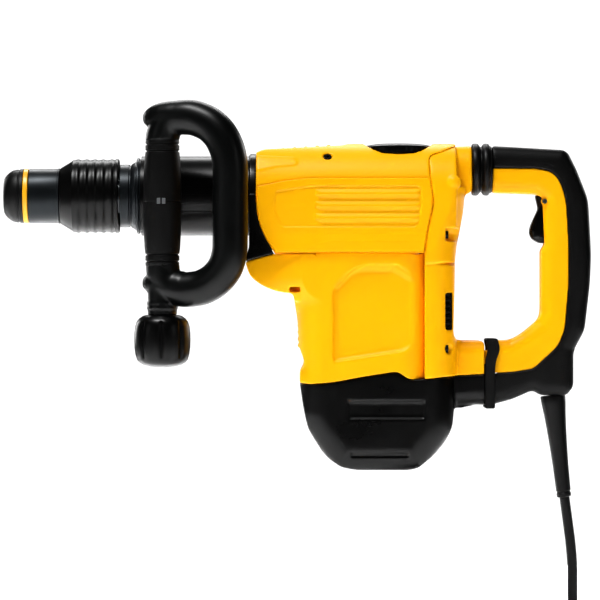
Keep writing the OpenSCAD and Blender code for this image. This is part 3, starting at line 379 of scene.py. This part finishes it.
def copy_of(bm, node):
    """Adds a merged copy of a CAD node's mesh, in millimetres."""
    old = set(bm.verts)
    bm.from_mesh(frame["nodes"][node].data)
    new = [v for v in bm.verts if v not in old]
    bmesh.ops.transform(bm, matrix=Matrix.Scale(1 / MM, 4), verts=new)
    bmesh.ops.remove_doubles(bm, verts=new, dist=0.002)


def moulded(name, bm, body, material, voxel, smooth, **rest):
    """A moulding: its solids are merged by a voxel remesh, and its edges are relaxed into even fillets."""
    piece = finish(name, bm, body, material, crease=180, **rest)
    merge = piece.modifiers.new("merge", "REMESH")
    merge.mode, merge.voxel_size, merge.use_smooth_shade = "VOXEL", voxel * MM, True
    relax = piece.modifiers.new("fillets", "SMOOTH")
    relax.factor, relax.iterations = 0.5, smooth
    bake_modifiers(piece)
    return piece


def away_from(x, z, line):
    """Distance of a point from a broken line of (along, up) points."""
    best = math.inf
    for (ax, az), (bx, bz) in zip(line, line[1:]):
        dx, dz = bx - ax, bz - az
        t = min(max(((x - ax) * dx + (z - az) * dz) / (dx * dx + dz * dz), 0.0), 1.0)
        best = min(best, math.hypot(x - ax - t * dx, z - az - t * dz))
    return best


def rounded_share(distance, radius, least):
    """Share of the half width that is left at a distance from an edge rounded over a radius."""
    t = min(max(distance / radius, 0.0), 1.0)
    return least + (1 - least) * math.sqrt(1 - (1 - t) ** 2)


def smooth_step(value, low, high):
    """0 below low, 1 above high, and an even S between them."""
    t = min(max((value - low) / (high - low), 0.0), 1.0)
    return t * t * (3 - 2 * t)


def inside(x, z, outline):
    """Whether a point lies within an outline of (along, up) points."""
    found = False
    for (ax, az), (bx, bz) in zip(outline, outline[1:]):
        if (az > z) != (bz > z) and x < ax + (z - az) / (bz - az) * (bx - ax):
            found = not found
    return found


def sunk(place, outline, slope, depth, least_y):
    """Sinks the part of a side face that lies within an outline, with a slope along its edge."""
    if abs(place.y) > least_y and inside(place.x, place.z, outline):
        drop = depth * smooth_step(away_from(place.x, place.z, outline), 0, slope)
        place.y -= math.copysign(drop, place.y)


def reshape(piece, rule):
    """Moves each vertex of a baked piece by a rule on its place in millimetres, then evens it out."""
    for vertex in piece.data.vertices:
        vertex.co = rule(vertex.co / MM) * MM
    relax = piece.modifiers.new("even", "SMOOTH")
    relax.factor, relax.iterations = 0.5, 4
    bake_modifiers(piece)


def thinned(piece, share):
    """Takes out the triangles that a flat face doesn't need."""
    thin = piece.modifiers.new("thin", "DECIMATE")
    thin.ratio = share
    bake_modifiers(piece)
    piece.data.shade_smooth()


def moulding(name, node, body, material, rule=None, voxel=1.3, smooth=3, more=None):
    """A shell moulded on the CAD node's solid, with filleted edges; a rule can crown or round its faces."""
    bm = bmesh.new()
    copy_of(bm, node)
    if more:
        more(bm)
    piece = moulded(name, bm, body, material, voxel, smooth, stands_for=(node,))
    if rule:
        reshape(piece, rule)
    thinned(piece, FLAT_SHARE)
    return piece


# ---- stations, in millimetres ----
CAP, RING, COLLAR = span("nose_cap"), span("accent_ring"), span("nose_collar")
SLEEVE, NECK, BARREL = span("locking_sleeve"), span("neck_ring"), span("barrel")
FLANGE_X = BARREL[1].x
NOSE_R, SLEEVE_R, LIP_R = CAP[1].z, SLEEVE[1].z, NECK[1].z
TRIGGER_PIN = sum(span("trigger_pin"), Vector()) / 2


def from_flange(*points):
    """Side-view points (along, up), with their place along the tool counted from the flange."""
    return [(FLANGE_X + x, z, *rest) for x, z, *rest in points]


# ---- nose ----
def nose_cap():
    """Rubber cap: a domed rim round the mouth, a waist and a lip in front of the coloured ring."""
    mouth, bore, step, long = 12.7, 18.2, 10.6, CAP[1].x
    lathe("nose_cap_rubber", [
        (1.6, mouth), (0.6, mouth + 1.2), (0.2, mouth + 3.0), (0.6, mouth + 5.2), (1.9, 20.4), (4.2, 22.9),
        (7.0, 25.2), (10.0, 26.8), (13.2, 27.6), (15.4, 27.8), (15.9, 27.2), (16.9, 27.2),
        (17.4, NOSE_R - 0.2), (long - 0.3, NOSE_R - 0.1), (long, NOSE_R - 0.6), (long, bore),
        (step, bore), (step, mouth),
    ], "root", NITRILE, stands_for=("nose_cap",), bevel=0.5)


def accent_ring():
    start, end, bore = RING[0].x, RING[1].x, 18.3
    lathe("accent_ring_moulded", [
        (start + 0.1, bore), (start + 0.1, NOSE_R - 0.8), (start + 0.8, NOSE_R - 0.1),
        (end - 0.8, NOSE_R - 0.1), (end - 0.1, NOSE_R - 0.8), (end - 0.1, bore),
    ], "root", ACETAL_YELLOW, stands_for=("accent_ring",), bevel=0.3)


def nose_collar():
    """Turned collar with a small bead, and a spigot that the sleeve slides over."""
    start, end, bore, spigot = COLLAR[0].x, COLLAR[1].x, 18.1, 23.0
    lathe("nose_collar_turned", [
        (start + 0.1, bore), (start + 0.1, NOSE_R - 0.9), (start + 0.9, NOSE_R - 0.1),
        (end - 7.0, NOSE_R - 0.1), (end - 5.4, NOSE_R + 0.6), (end - 4.5, NOSE_R + 0.4), (end - 4.4, spigot),
        (end, spigot), (end, bore),
    ], "root", ANODISED_BLACK, stands_for=("nose_collar",), bevel=0.3)


RIB_SHAPE = ((0.05, 0.0), (0.3, 0.25), (0.52, 0.8), (0.68, 1.2), (0.84, 0.9), (0.95, 0.3))


def locking_sleeve():
    """Sleeve with a cone and round ribs that fingers pull on, hollow for its spring."""
    start, end = SLEEVE[0].x, SLEEVE[1].x
    cone, ribs, root = start + 13.0, 5, SLEEVE_R - 1.3
    guide, hollow = 23.4, 34.3
    profile = [(start, NOSE_R - 4), (start, NOSE_R + 0.2), (start + 0.8, NOSE_R + 0.9),
               (cone - 1.5, root - 1.6), (cone, root - 0.4)]
    pitch = (end - 5.0 - cone) / ribs
    for k in range(ribs):
        profile += [(cone + (k + share) * pitch, root + height) for share, height in RIB_SHAPE]
    profile += [(end - 4.4, root), (end - 4.0, root + 0.4), (end - 3.6, SLEEVE_R - 0.1),
                (end - 0.8, SLEEVE_R - 0.1), (end, SLEEVE_R - 0.9)]
    profile += [(end, hollow), (cone + 4.5, hollow), (cone + 4.5, guide), (start, guide)]
    lathe("locking_sleeve_ribbed", profile, "sleeve", BLACK_NYLON, stands_for=("locking_sleeve",), bevel=0.35)


def neck():
    """Neck behind the sleeve, with a bead and a lip against the barrel."""
    start, end, body_r, groove = NECK[0].x, NECK[1].x, 32.9, 31.9
    front_bore, rear_bore = 18.6, 24.8
    lathe("barrel_neck", [
        (start + 0.1, front_bore), (start + 0.1, 32.4), (start + 0.6, body_r), (start + 9.6, body_r),
        (start + 10.2, groove), (start + 11.4, groove), (start + 12.2, 33.2), (end - 6.4, 35.4),
        (end - 5.2, 35.6), (end - 4.9, 38.6), (end - 4.2, LIP_R - 0.1), (end - 2.4, LIP_R - 0.1),
        (end - 1.8, 38.2), (end - 1.2, 38.4), (end - 0.6, LIP_R - 0.9), (end, LIP_R - 1.4), (end, rear_bore),
        (end - 8, rear_bore), (end - 8, front_bore),
    ], "root", ANODISED_BLACK, stands_for=("neck_ring",), bevel=0.3)


# ---- housings ----
CROWN_R, PAD_R, PAD_LOW_Y, PAD_HIGH_Y = 51, 55.4, 40, 56
PAD_OUTLINE = from_flange((8.4, 40.6, 1), (47, 39.2, 3), (50.5, 35, 3), (48, 31, 3), (30, 30, 3),
                          (8.4, 25.4, 1))
COVER_SKIN_Y = 52.5
LEDGE_TOP, LEDGE_LOW, LEDGE_STEP = -41.0, -48.5, 1.7
BAR_TOPS, BAR_HEIGHT = (3.6, -9.0, -21.6), 1.2
BULGE_SKIN_Y, SIDE_SKIN_Y, RECESS_SKIN_Y, HALF_WIDTH = 36, 28, 45.5, 53.0
MOTOR_FRONT = from_flange((50, -124), (51, -140), (52, -160), (54, -178))
MOTOR_RECESS = from_flange((86, -176), (86, -96), (100, -80), (112, -73.5), (150, -73.5), (160, -79),
                           (173, -87), (173, -157), (158, -165), (86, -176))
RIDGES, RIDGE_PITCH, RIDGE_RISE, RIDGE_R, RIDGE_LONG = 6, 11.8, 0.82, 2.6, 30
RIDGE_X, RIDGE_Z = FLANGE_X + 24, 46.5
BOSS_R, BOSS_X, BOSS_Y, BOSS_Z = 7.6, FLANGE_X + 213, 49.0, 12.5
ARM_BELOW, SOFT_ABOVE, SOFT_SKIN_Y = -120, -72, 27
REAR_EDGE = from_flange((212.4, -151), (214, -97.7), (216.6, -51.2), (220, -35.2), (223.4, -16.4), (224.8, 1),
                        (233, 4))
ARM_X = FLANGE_X + 216
ARM_TOP = from_flange((222, -151.4), (262, -151.4))
ARM_LOW = from_flange((216, -221), (236, -219), (262, -220))
CAP_FOOT = from_flange((62, -250), (92, -287), (178, -287), (208, -254))


def shoulder_pad(bm):
    """Raised pad on each shoulder of the crown, behind the flange."""
    middle = (PAD_LOW_Y + PAD_HIGH_Y) / 2
    for side in (-1, 1):
        for vert in slab(bm, PAD_OUTLINE, side * PAD_LOW_Y, side * PAD_HIGH_Y):
            radius = PAD_R if abs(vert.co.y) > middle else CROWN_R
            vert.co.y = side * math.sqrt(radius**2 - vert.co.z**2)


def cover_rule(place):
    """The panel stands back above a ledge along its lower edge, and three bars rise from its recess."""
    if abs(place.y) < COVER_SKIN_Y:
        return place
    low = LEDGE_LOW - 8.0 * (1 - smooth_step(place.x, FLANGE_X + 40, FLANGE_X + 90))
    share = min(max((place.z - low) / (LEDGE_TOP - low), 0.0), 1.0)
    place.y -= math.copysign(LEDGE_STEP * share, place.y)
    start = smooth_step(place.x, FLANGE_X + 70, FLANGE_X + 76)
    along = start * (1 - smooth_step(place.x, FLANGE_X + 174, FLANGE_X + 177))
    for top in BAR_TOPS:
        bar = smooth_step(place.z, top - 7.2, top - 5.4) * (1 - smooth_step(place.z, top - 1.2, top + 0.4))
        place.y += math.copysign(BAR_HEIGHT * along * bar, place.y)
    return place


def motor_rule(place):
    """Widens the bulge into the motor housing's side, rounds the front, and sinks the side's recess."""
    widened = 0.25 * smooth_step(place.x, FLANGE_X, FLANGE_X + 56) * smooth_step(place.z, -116, -86)
    widened = 1 + widened * (1 - smooth_step(place.x, FLANGE_X + 62, FLANGE_X + 80))
    if abs(place.y) > BULGE_SKIN_Y:
        place.y = math.copysign(min(abs(place.y) * widened, max(abs(place.y), HALF_WIDTH)), place.y)
    if abs(place.y) > SIDE_SKIN_Y:
        place.y *= rounded_share(away_from(place.x, place.z, MOTOR_FRONT), 20, 0.75)
    sunk(place, MOTOR_RECESS, 7.5, 2.4, RECESS_SKIN_Y)
    return place


def crown_ridges():
    """Low bars across the crown in front of the dial, each a little higher than the one before."""
    bm = bmesh.new()
    for k in range(RIDGES):
        place = Matrix.Translation((RIDGE_X + RIDGE_PITCH * k, 0, RIDGE_Z + RIDGE_RISE * k))
        rod(bm, RIDGE_R, RIDGE_LONG, place @ ALONG_Y)
    finish("crown_ridges", bm, "root", YELLOW_NYLON, slot="yellow_shell", bevel=1.2)


def rear_boss(bm):
    """Low round boss high on each side of the rear housing."""
    for side in (-1, 1):
        made = bmesh.ops.create_uvsphere(bm, u_segments=32, v_segments=16, radius=BOSS_R)["verts"]
        place = Matrix.Translation((BOSS_X, side * BOSS_Y, BOSS_Z))
        bmesh.ops.transform(bm, matrix=place @ Matrix.Diagonal((1, 0.75, 1, 1)), verts=made)


def rear_rule(place):
    """Rounds the lower arm's top and the housing's rear edge, more softly low down than at the neck."""
    if place.x > ARM_X and place.z < ARM_BELOW:
        place.y *= rounded_share(away_from(place.x, place.z, ARM_TOP), 15, 0.5)
    elif place.z > SOFT_ABOVE and abs(place.y) > SOFT_SKIN_Y:
        radius = 26 - 12 * smooth_step(place.z, -60, 10)
        least = 0.52 + 0.2 * smooth_step(place.z, -60, 10)
        place.y *= rounded_share(away_from(place.x, place.z, REAR_EDGE), radius, least)
    return place


def cap_rule(place):
    """The cap's foot is drawn in round its lower edge, and the lower arm is rounded below."""
    if place.x > ARM_X:
        place.y *= rounded_share(away_from(place.x, place.z, ARM_LOW), 16, 0.45)
    else:
        place.y *= rounded_share(away_from(place.x, place.z, CAP_FOOT), 26, 0.66)
    return place


def housings():
    moulding("upper_housing_shell", "upper_housing", "root", YELLOW_NYLON, more=shoulder_pad)
    for side in ("left", "right"):
        moulding(f"side_cover_{side}_shell", f"side_cover_{side}", "root", YELLOW_NYLON, cover_rule, 0.8, 1)
    moulding("motor_housing_shell", "motor_housing", "root", YELLOW_NYLON, motor_rule, 1.1, 1)
    moulding("rear_housing_shell", "rear_housing", "root", YELLOW_NYLON, rear_rule, 1.2, more=rear_boss)
    crown_ridges()
    moulding("motor_cap_shell", "motor_cap", "root", BLACK_NYLON, cap_rule)
    moulding("barrel_flange_shell", "barrel_flange", "root", BLACK_NYLON, voxel=1.1, smooth=2)
    moulding("vent_louvres", "vent_inserts", "root", BLACK_NYLON, voxel=0.5, smooth=1)


# ---- rear handle ----
OPENING_LINE = from_flange(
    (240, 3.2), (299.6, 1.7), (308, -4), (309, -51.9), (305.1, -58), (305.1, -122.2), (302, -131),
    (284.9, -144.9), (273, -151.2), (240, -151.2))
BACK_LINE = from_flange(
    (240, 53), (329.3, 48.4), (334.6, 43.9), (342.6, 27.8), (355.2, -3.7), (358.4, -60.9), (357, -91.4),
    (351.3, -140.7), (339.7, -162.3), (339.7, -209))
FOOT_LINE = from_flange((240, -220), (249.9, -220), (275, -213.4), (296.4, -204), (305, -209.2),
                        (339, -209.2))
TRIGGER_LINE = from_flange((299.7, 1), (302, -12), (297, -23), (293.5, -36), (296, -46), (304, -50))
STRAP_X = FLANGE_X + 253.2
LOWER_ARM_Z, UNDER_STRAP = -140, 6.0
PIN_BOSS_R, PIN_BOSS_LONG, PIN_BOSS_Y = 3.6, 8.8, 14.6


def frame_rule(place):
    """Rounds the frame round its opening, and draws the lower arm's end on under the strap."""
    if place.z < LOWER_ARM_Z:
        place.x -= UNDER_STRAP * (1 - smooth_step(place.x, FLANGE_X + 261, FLANGE_X + 269))
    place.y *= rounded_share(away_from(place.x, place.z, OPENING_LINE), 14, 0.52)
    return place


def grip_rule(place):
    """Rounds the grip along its back and under its foot."""
    place.y *= rounded_share(away_from(place.x, place.z, BACK_LINE), 16, 0.42)
    place.y *= rounded_share(away_from(place.x, place.z, FOOT_LINE), 13, 0.55)
    return place


def trigger_rule(place):
    """Rounds the face that the fingers pull."""
    place.y *= rounded_share(away_from(place.x, place.z, TRIGGER_LINE), 9, 0.5)
    return place


def pin_boss(side):
    """Thickens one half of the frame round the end of the trigger's pin."""
    def added(bm):
        place = Matrix.Translation((TRIGGER_PIN.x, side * PIN_BOSS_Y, TRIGGER_PIN.z))
        rod(bm, PIN_BOSS_R, PIN_BOSS_LONG, place @ ALONG_Y)
    return added


def rear_handle():
    for name, side in (("left", -1), ("right", 1)):
        moulding(f"handle_{name}_shell", f"handle_{name}", "rear_handle", YELLOW_NYLON, frame_rule, 1.0,
                 more=pin_boss(side))
    moulding("rear_grip_overmould", "rear_grip", "rear_handle", GRIP_TPE, grip_rule)
    moulding("trigger_moulded", "trigger", "trigger_body", BLACK_NYLON, trigger_rule, 0.7, 4)


BELLOWS_FOLDS = (
    (0.0, -6.2), (0.0, -1.6), (0.03, -0.7), (0.1, -0.05), (0.22, 0.0), (0.3, -0.4), (0.36, -1.8),
    (0.41, -3.4), (0.45, -3.9), (0.49, -3.4), (0.54, -1.8), (0.6, -0.4), (0.69, 0.0), (0.79, -0.1),
    (0.85, -0.9), (0.89, -2.3), (0.93, -3.0), (1.0, -3.1), (1.0, -6.2), (0.72, -4.2), (0.45, -7.2),
    (0.22, -4.2))


def bellows():
    """Two soft folds between the housing's neck and the handle's upper arm."""
    low, high = span("bellows")
    centre_z, out = (low.z + high.z) / 2, (high.z - low.z) / 2
    long = high.x - low.x
    profile = [(low.x + share * long, out - 0.05 + drop) for share, drop in BELLOWS_FOLDS]
    place = Matrix.Translation((0, 0, centre_z)) @ ALONG_X
    piece = lathe("bellows_rubber", profile, None, NITRILE, place=place, stands_for=("bellows",), bevel=0.3,
                  crease=50)
    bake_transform(piece)


def strap_rule(place):
    """The strap leans back over the arm's top and narrows down its sides."""
    down = smooth_step(place.z, -156, -184)
    lean = 2.0 * math.exp(-((place.z + 161) / 8) ** 2)
    place.x = STRAP_X + (place.x - STRAP_X) * (1 - 0.2 * down) - 1.6 * down + lean
    return place


def strap():
    moulding("strap_seal_rubber", "strap_seal", "root", NITRILE, strap_rule, 0.7, 2)


# ---- speed dial ----
SCALLOPS, RIM_POINTS = 24, 192


def fluted_ring(bm, centre, radius, depth, count, power, z):
    """A ring of points round an upright axis, drawn in by a number of even flutes."""
    ring = bmesh.ops.create_circle(bm, segments=RIM_POINTS, radius=1)["verts"]
    for vert in ring:
        angle = math.atan2(vert.co.y, vert.co.x)
        reach = radius - depth * max(0.0, math.cos(count * angle)) ** power
        vert.co = Vector((centre.x + reach * math.cos(angle), centre.y + reach * math.sin(angle), z))
    return ring


def speed_dial():
    """Low domed knob with finger scallops round its rim and a dished middle."""
    low, high = span("control_dial")
    centre = (low + high) / 2
    r, top = (high.x - low.x) / 2, high.z
    bm = bmesh.new()
    joined_rings(bm, [fluted_ring(bm, centre, radius, depth, SCALLOPS, 2, z) for z, radius, depth in (
        (43.95, r - 1.6, 0.0), (44.6, r - 0.3, 0.2), (46.5, r, 0.4), (50.0, r, 0.4), (51.6, r - 0.5, 0.3),
        (52.6, r - 2.2, 0.1), (53.4, r - 6.0, 0.0), (top - 0.4, r - 12, 0.0), (top - 0.5, r - 20, 0.0),
        (top - 1.6, r - 22, 0.0), (top - 1.7, 6.0, 0.0))])
    finish("speed_dial_moulded", bm, "dial", BLACK_NYLON, stands_for=("control_dial",), bevel=0.25, crease=40)


# ---- side handle ----
POST = Vector((168.7, -64.0, 0))
LOOP = Matrix.Translation(POST) @ Matrix.Rotation(math.radians(-20), 4, "Z")
LOOP_R, LOOP_BOTTOM, LOOP_OUT = 18.2, -98.0, 75
BEAK_RADII = [17.6, 17.2, 16.0, 13.4, 10.0, 5.4]
BEAKS = ([(22, 79.2), (10, 79), (0, 79), (-9, 79), (-15, 79), (-20, 79)],
         [(22, -97), (10, -95.5), (0, -93.5), (-9, -92), (-15, -91.5), (-20.5, -91.3)])
GRIP_R, GRIP_SPLIT, RING_GROOVES, GROOVE_PITCH = 18.9, -8.0, 2, 7
FLUTES, FLUTE_DEPTH, FLUTE_MIDDLE, FLUTE_HALF = 8, 3.0, 0.48, 0.36


def loop_handle():
    """Loop of thick tube: two horns, a rounded top, a straight rear upright, and a neck for the knob."""
    low, high = span("loop_handle")
    grip_low, grip_high = span("front_grip")
    top, bottom, out = high.z - LOOP_R - 0.2, LOOP_BOTTOM, LOOP_OUT
    points = [
        (0, 0, grip_high.z - 1.4), (0.5, 0, 60), (5, 0, 71), (14, 0, 77.6), (28, 0, top), (40, 0, top - 2.2),
        (54, 0, top - 9), (65.5, 0, top - 21), (73, 0, top - 38), (out, 0, top - 56), (out, 0, 0),
        (out, 0, -46), (74, 0, -62), (69, 0, -76.5), (59, 0, -88), (46, 0, -95.4), (34, 0, bottom),
        (20, 0, bottom - 0.2), (8, 0, bottom + 5.4), (1.5, 0, bottom + 15), (0, 0, bottom + 30),
        (0, 0, grip_low.z + 1.4)]
    path = [LOOP @ p for p in curve_through(points, 5)]
    # The tube is a little thinner where it turns away from the grip
    radii = [LOOP_R - 1.2 * math.exp(-(((LOOP.inverted() @ p).x - 8) / 12) ** 2) for p in path]
    bm = bmesh.new()
    swept(bm, path, radii, 40)
    neck_top, neck_low = bottom - 2, span("clamp_knob")[1].z - 0.6
    for z, tall, radius in ((neck_low, neck_top - neck_low + 4, 15.0), (neck_low + 7, 2.2, 16.0),
                            (neck_low + 11.5, 2.2, 16.0)):
        rod(bm, radius, tall, Matrix.Translation(POST + Vector((0, 0, z + tall / 2))), 48)
    for beak in BEAKS:
        swept(bm, [LOOP @ Vector((u, 0, z)) for u, z in beak], BEAK_RADII)
    piece = moulded("loop_handle_tube", bm, "side_handle", LOOP_TPE, 1.1, 5, stands_for=("loop_handle",))
    thinned(piece, 0.5)


def front_grip():
    """Swelling grip on the front upright, with ring grooves near its ends and a line between its halves."""
    low, high = span("front_grip")
    r, split = GRIP_R, GRIP_SPLIT
    bottom, top = low.z + 0.2, high.z - 0.2
    profile = [(bottom, 8), (bottom, r - 2.2), (bottom + 1, r - 1.6)]
    for k in range(RING_GROOVES):
        z = bottom + 4 + GROOVE_PITCH * k
        profile += [(z, r - 1.4), (z + 0.5, r - 2.6), (z + 1.7, r - 2.6), (z + 2.2, r - 1.3)]
    profile += [(bottom + 18, r - 0.6), (bottom + 34, r + 0.3), (bottom + 50, r + 0.7),
                (split - 0.6, r + 0.8), (split - 0.4, r), (split + 0.4, r), (split + 0.6, r + 0.8),
                (top - 46, r + 0.7), (top - 30, r + 0.2), (top - 19, r - 0.6)]
    for k in range(RING_GROOVES):
        z = top - 13.2 + GROOVE_PITCH * k
        profile += [(z, r - 1.3), (z + 0.5, r - 2.6), (z + 1.7, r - 2.6), (z + 2.2, r - 1.4)]
    profile += [(top - 1, r - 1.6), (top, r - 2.2), (top, 8)]
    bm = bmesh.new()
    spun(bm, profile, 64)
    bmesh.ops.translate(bm, vec=POST, verts=bm.verts)
    finish("front_grip_overmould", bm, "side_handle", GRIP_TPE, stands_for=("front_grip",), bevel=0.35)


def grip_marks():
    """Two bright metal tabs on the grip's split line."""
    wide, low, high, corner = 3.6, -10.2, -4.4, 0.6
    bm = bmesh.new()
    for x in (-5.0, 0.2):
        near, far = POST.x + x, POST.x + x + wide
        slab(bm, [(near, low, corner), (far, low, corner), (far, high, corner), (near, high, corner)],
             POST.y - 20.1, POST.y - 17.6)
    finish("grip_split_tabs", bm, "side_handle", ZINC_STEEL, slot="zinc_steel", bevel=0.2)


def clamp_knob():
    """Barrel-shaped knob with long oval flutes and a domed end."""
    low, high = span("clamp_knob")
    r, tall = (high.x - low.x) / 2, high.z - low.z
    shape = [(0.0, 8.0), (0.0, 17.0), (0.02, 20.5), (0.07, r - 5.2), (0.13, r - 2.6), (0.22, r - 1.0),
             (0.34, r - 0.2), (0.48, r), (0.62, r - 0.3), (0.75, r - 1.3), (0.85, r - 3.0), (0.91, r - 5.6),
             (0.955, r - 10.0), (0.985, r - 17.0), (1.0, 6.0)]
    halfway = [((a[0] + b[0]) / 2, (a[1] + b[1]) / 2) for a, b in zip(shape, shape[1:])]
    stations = [s for pair in zip(shape, halfway) for s in pair] + shape[-1:]
    bm = bmesh.new()
    rings = []
    for share, radius in stations:
        off = (share - FLUTE_MIDDLE) / FLUTE_HALF
        depth = FLUTE_DEPTH * max(0.0, 1 - off**2) ** 0.5
        rings.append(fluted_ring(bm, POST, radius, depth, FLUTES, 5, high.z - share * tall))
    joined_rings(bm, rings)
    finish("clamp_knob_moulded", bm, "knob", BLACK_NYLON, stands_for=("clamp_knob",), crease=60)


# ---- cord ----
HANGING = [
    (588.5, 0, -316), (590.5, 0, -331), (592.5, 0, -346), (594.5, 0, -361), (596, 0, -377),
    (597, 0, -393), (597, 0, -408), (597, 0, -418), (597, -1.5, -430), (597, -6, -441),
    (597, -13.5, -451), (597, -23, -458.5), (597, -34, -463), (597, -46, -464.3),
]
TAIL = [
    (420.5, -46, -474.7), (420.5, -36, -474.7), (420.5, -26, -474), (420.5, -16, -472.5),
    (420.5, -6, -470), (420.5, 4, -467.3), (420.5, 12, -465.4), (420.5, 18, -464.4),
]
CORD_D = 10.5
COIL_X, COIL_Y, COIL_INNER, COIL_OUTER = 508.75, -46, 41.0, 88.25
UPPER_Z, LOWER_Z = -464.25, -474.75
LAYER_TURNS, STEP_DOWN_TURNS, TURN_POINTS = 4.5, 0.5, 24


def coil_turns():
    """Turns of the coil: a flat spiral inwards on the upper layer, and one outwards beneath it."""
    out = []
    below = LAYER_TURNS + STEP_DOWN_TURNS
    for i in range(1, int((LAYER_TURNS + below) * TURN_POINTS)):
        t = i / TURN_POINTS
        if t <= LAYER_TURNS:
            r, z = COIL_OUTER - CORD_D * t, UPPER_Z
        elif t <= below:
            r, z = COIL_INNER, UPPER_Z + (LOWER_Z - UPPER_Z) * (t - LAYER_TURNS) / STEP_DOWN_TURNS
        else:
            r, z = COIL_INNER + CORD_D * (t - below), LOWER_Z
        out.append((COIL_X + r * math.cos(-math.tau * t), COIL_Y + r * math.sin(-math.tau * t), z))
    return out


def cord():
    """The sheath in one tube, from the boot's tip through the coil to the plug."""
    route = [Vector(p) for p in HANGING + coil_turns() + TAIL]
    bm = bmesh.new()
    swept(bm, route, [CORD_D / 2] * len(route), 20)
    piece = finish("cord_sheath", bm, "rear_handle", CHLOROPRENE,
                   stands_for=("cord", "cord_coil", "cord_tail"), crease=60)
    boot, plug, pins, tie = cord_boot(), plug_body(), frame["nodes"]["plug_pins"], cord_tie()


def cord_boot():
    """Tapered strain relief with a rim at its tip."""
    start, end = Vector((FLANGE_X + 318.5, 0, -208.9)), Vector((FLANGE_X + 330.5, 0, -316))
    long, bore = (end - start).length, 4.8
    profile = [(0.3, bore), (0.3, 12.6), (1.6, 13.1), (9, 12.6), (20, 11.4), (34, 10.3), (52, 9.2), (74, 8.2),
               (long - 7, 7.6), (long - 6.4, 7.0), (long - 4.6, 7.0), (long - 4, 7.6), (long - 0.8, 7.4),
               (long - 0.1, 6.6), (long - 0.1, bore)]
    turn = (end - start).to_track_quat("Z", "Y").to_matrix().to_4x4()
    return lathe("cord_boot_rubber", profile, "rear_handle", NITRILE, place=Matrix.Translation(start) @ turn,
                 steps=64, stands_for=("cord_boot",), bevel=0.3)


def plug_body():
    """Round rubber plug with a waist and a ribbed grip."""
    low, high = span("plug_body")
    centre = Vector(((low.x + high.x) / 2, low.y, (low.z + high.z) / 2))
    long, r = high.y - low.y, (high.x - low.x) / 2
    profile = [(0.1, 5.5), (0.1, 6.6), (1.0, 7.0)]
    for k in range(4):
        along, grown = 5 * k, 0.4 * k
        profile += [(3 + along, 7.6 + grown), (3.5 + along, 6.9 + grown), (5 + along, 6.9 + grown),
                    (5.5 + along, 7.7 + grown)]
    profile += [(24, 9), (27.5, 11), (30, 14.4), (34, 16.4), (40, 17.0), (44, 17.0), (45, 16.2), (47, 16.2),
                (48, 17.2), (51, r - 0.1), (long - 3, r - 0.1), (long - 1, r - 0.7), (long - 0.1, r - 1.8),
                (long - 0.1, 0.5), (0.1, 0.5)]
    place = Matrix.Translation(centre) @ Matrix.Rotation(math.radians(-90), 4, "X")
    return lathe("plug_moulded", profile, "rear_handle", CHLOROPRENE, place=place, steps=64,
                 stands_for=("plug_body",), bevel=0.3)


def cord_tie():
    """Strap that holds the coil's turns together."""
    bm = bmesh.new()
    copy_of(bm, "cord_tie")
    piece = moulded("cord_tie_strap", bm, "rear_handle", NITRILE, 0.6, 2, stands_for=("cord_tie",))
    thinned(piece, 0.4)
    return piece


cord()
nose_cap()
accent_ring()
nose_collar()
locking_sleeve()
neck()
housings()
rear_handle()
bellows()
strap()
speed_dial()
loop_handle()
front_grip()
grip_marks()
clamp_knob()

# ---- finishes of the CAD nodes that show as they are ----
for row in frame["record"]["subparts"]:
    node = frame["nodes"][row["node"]]
    node.data.materials.clear()
    node.data.materials.append(SLOT_FINISH[row["material_slot"]])
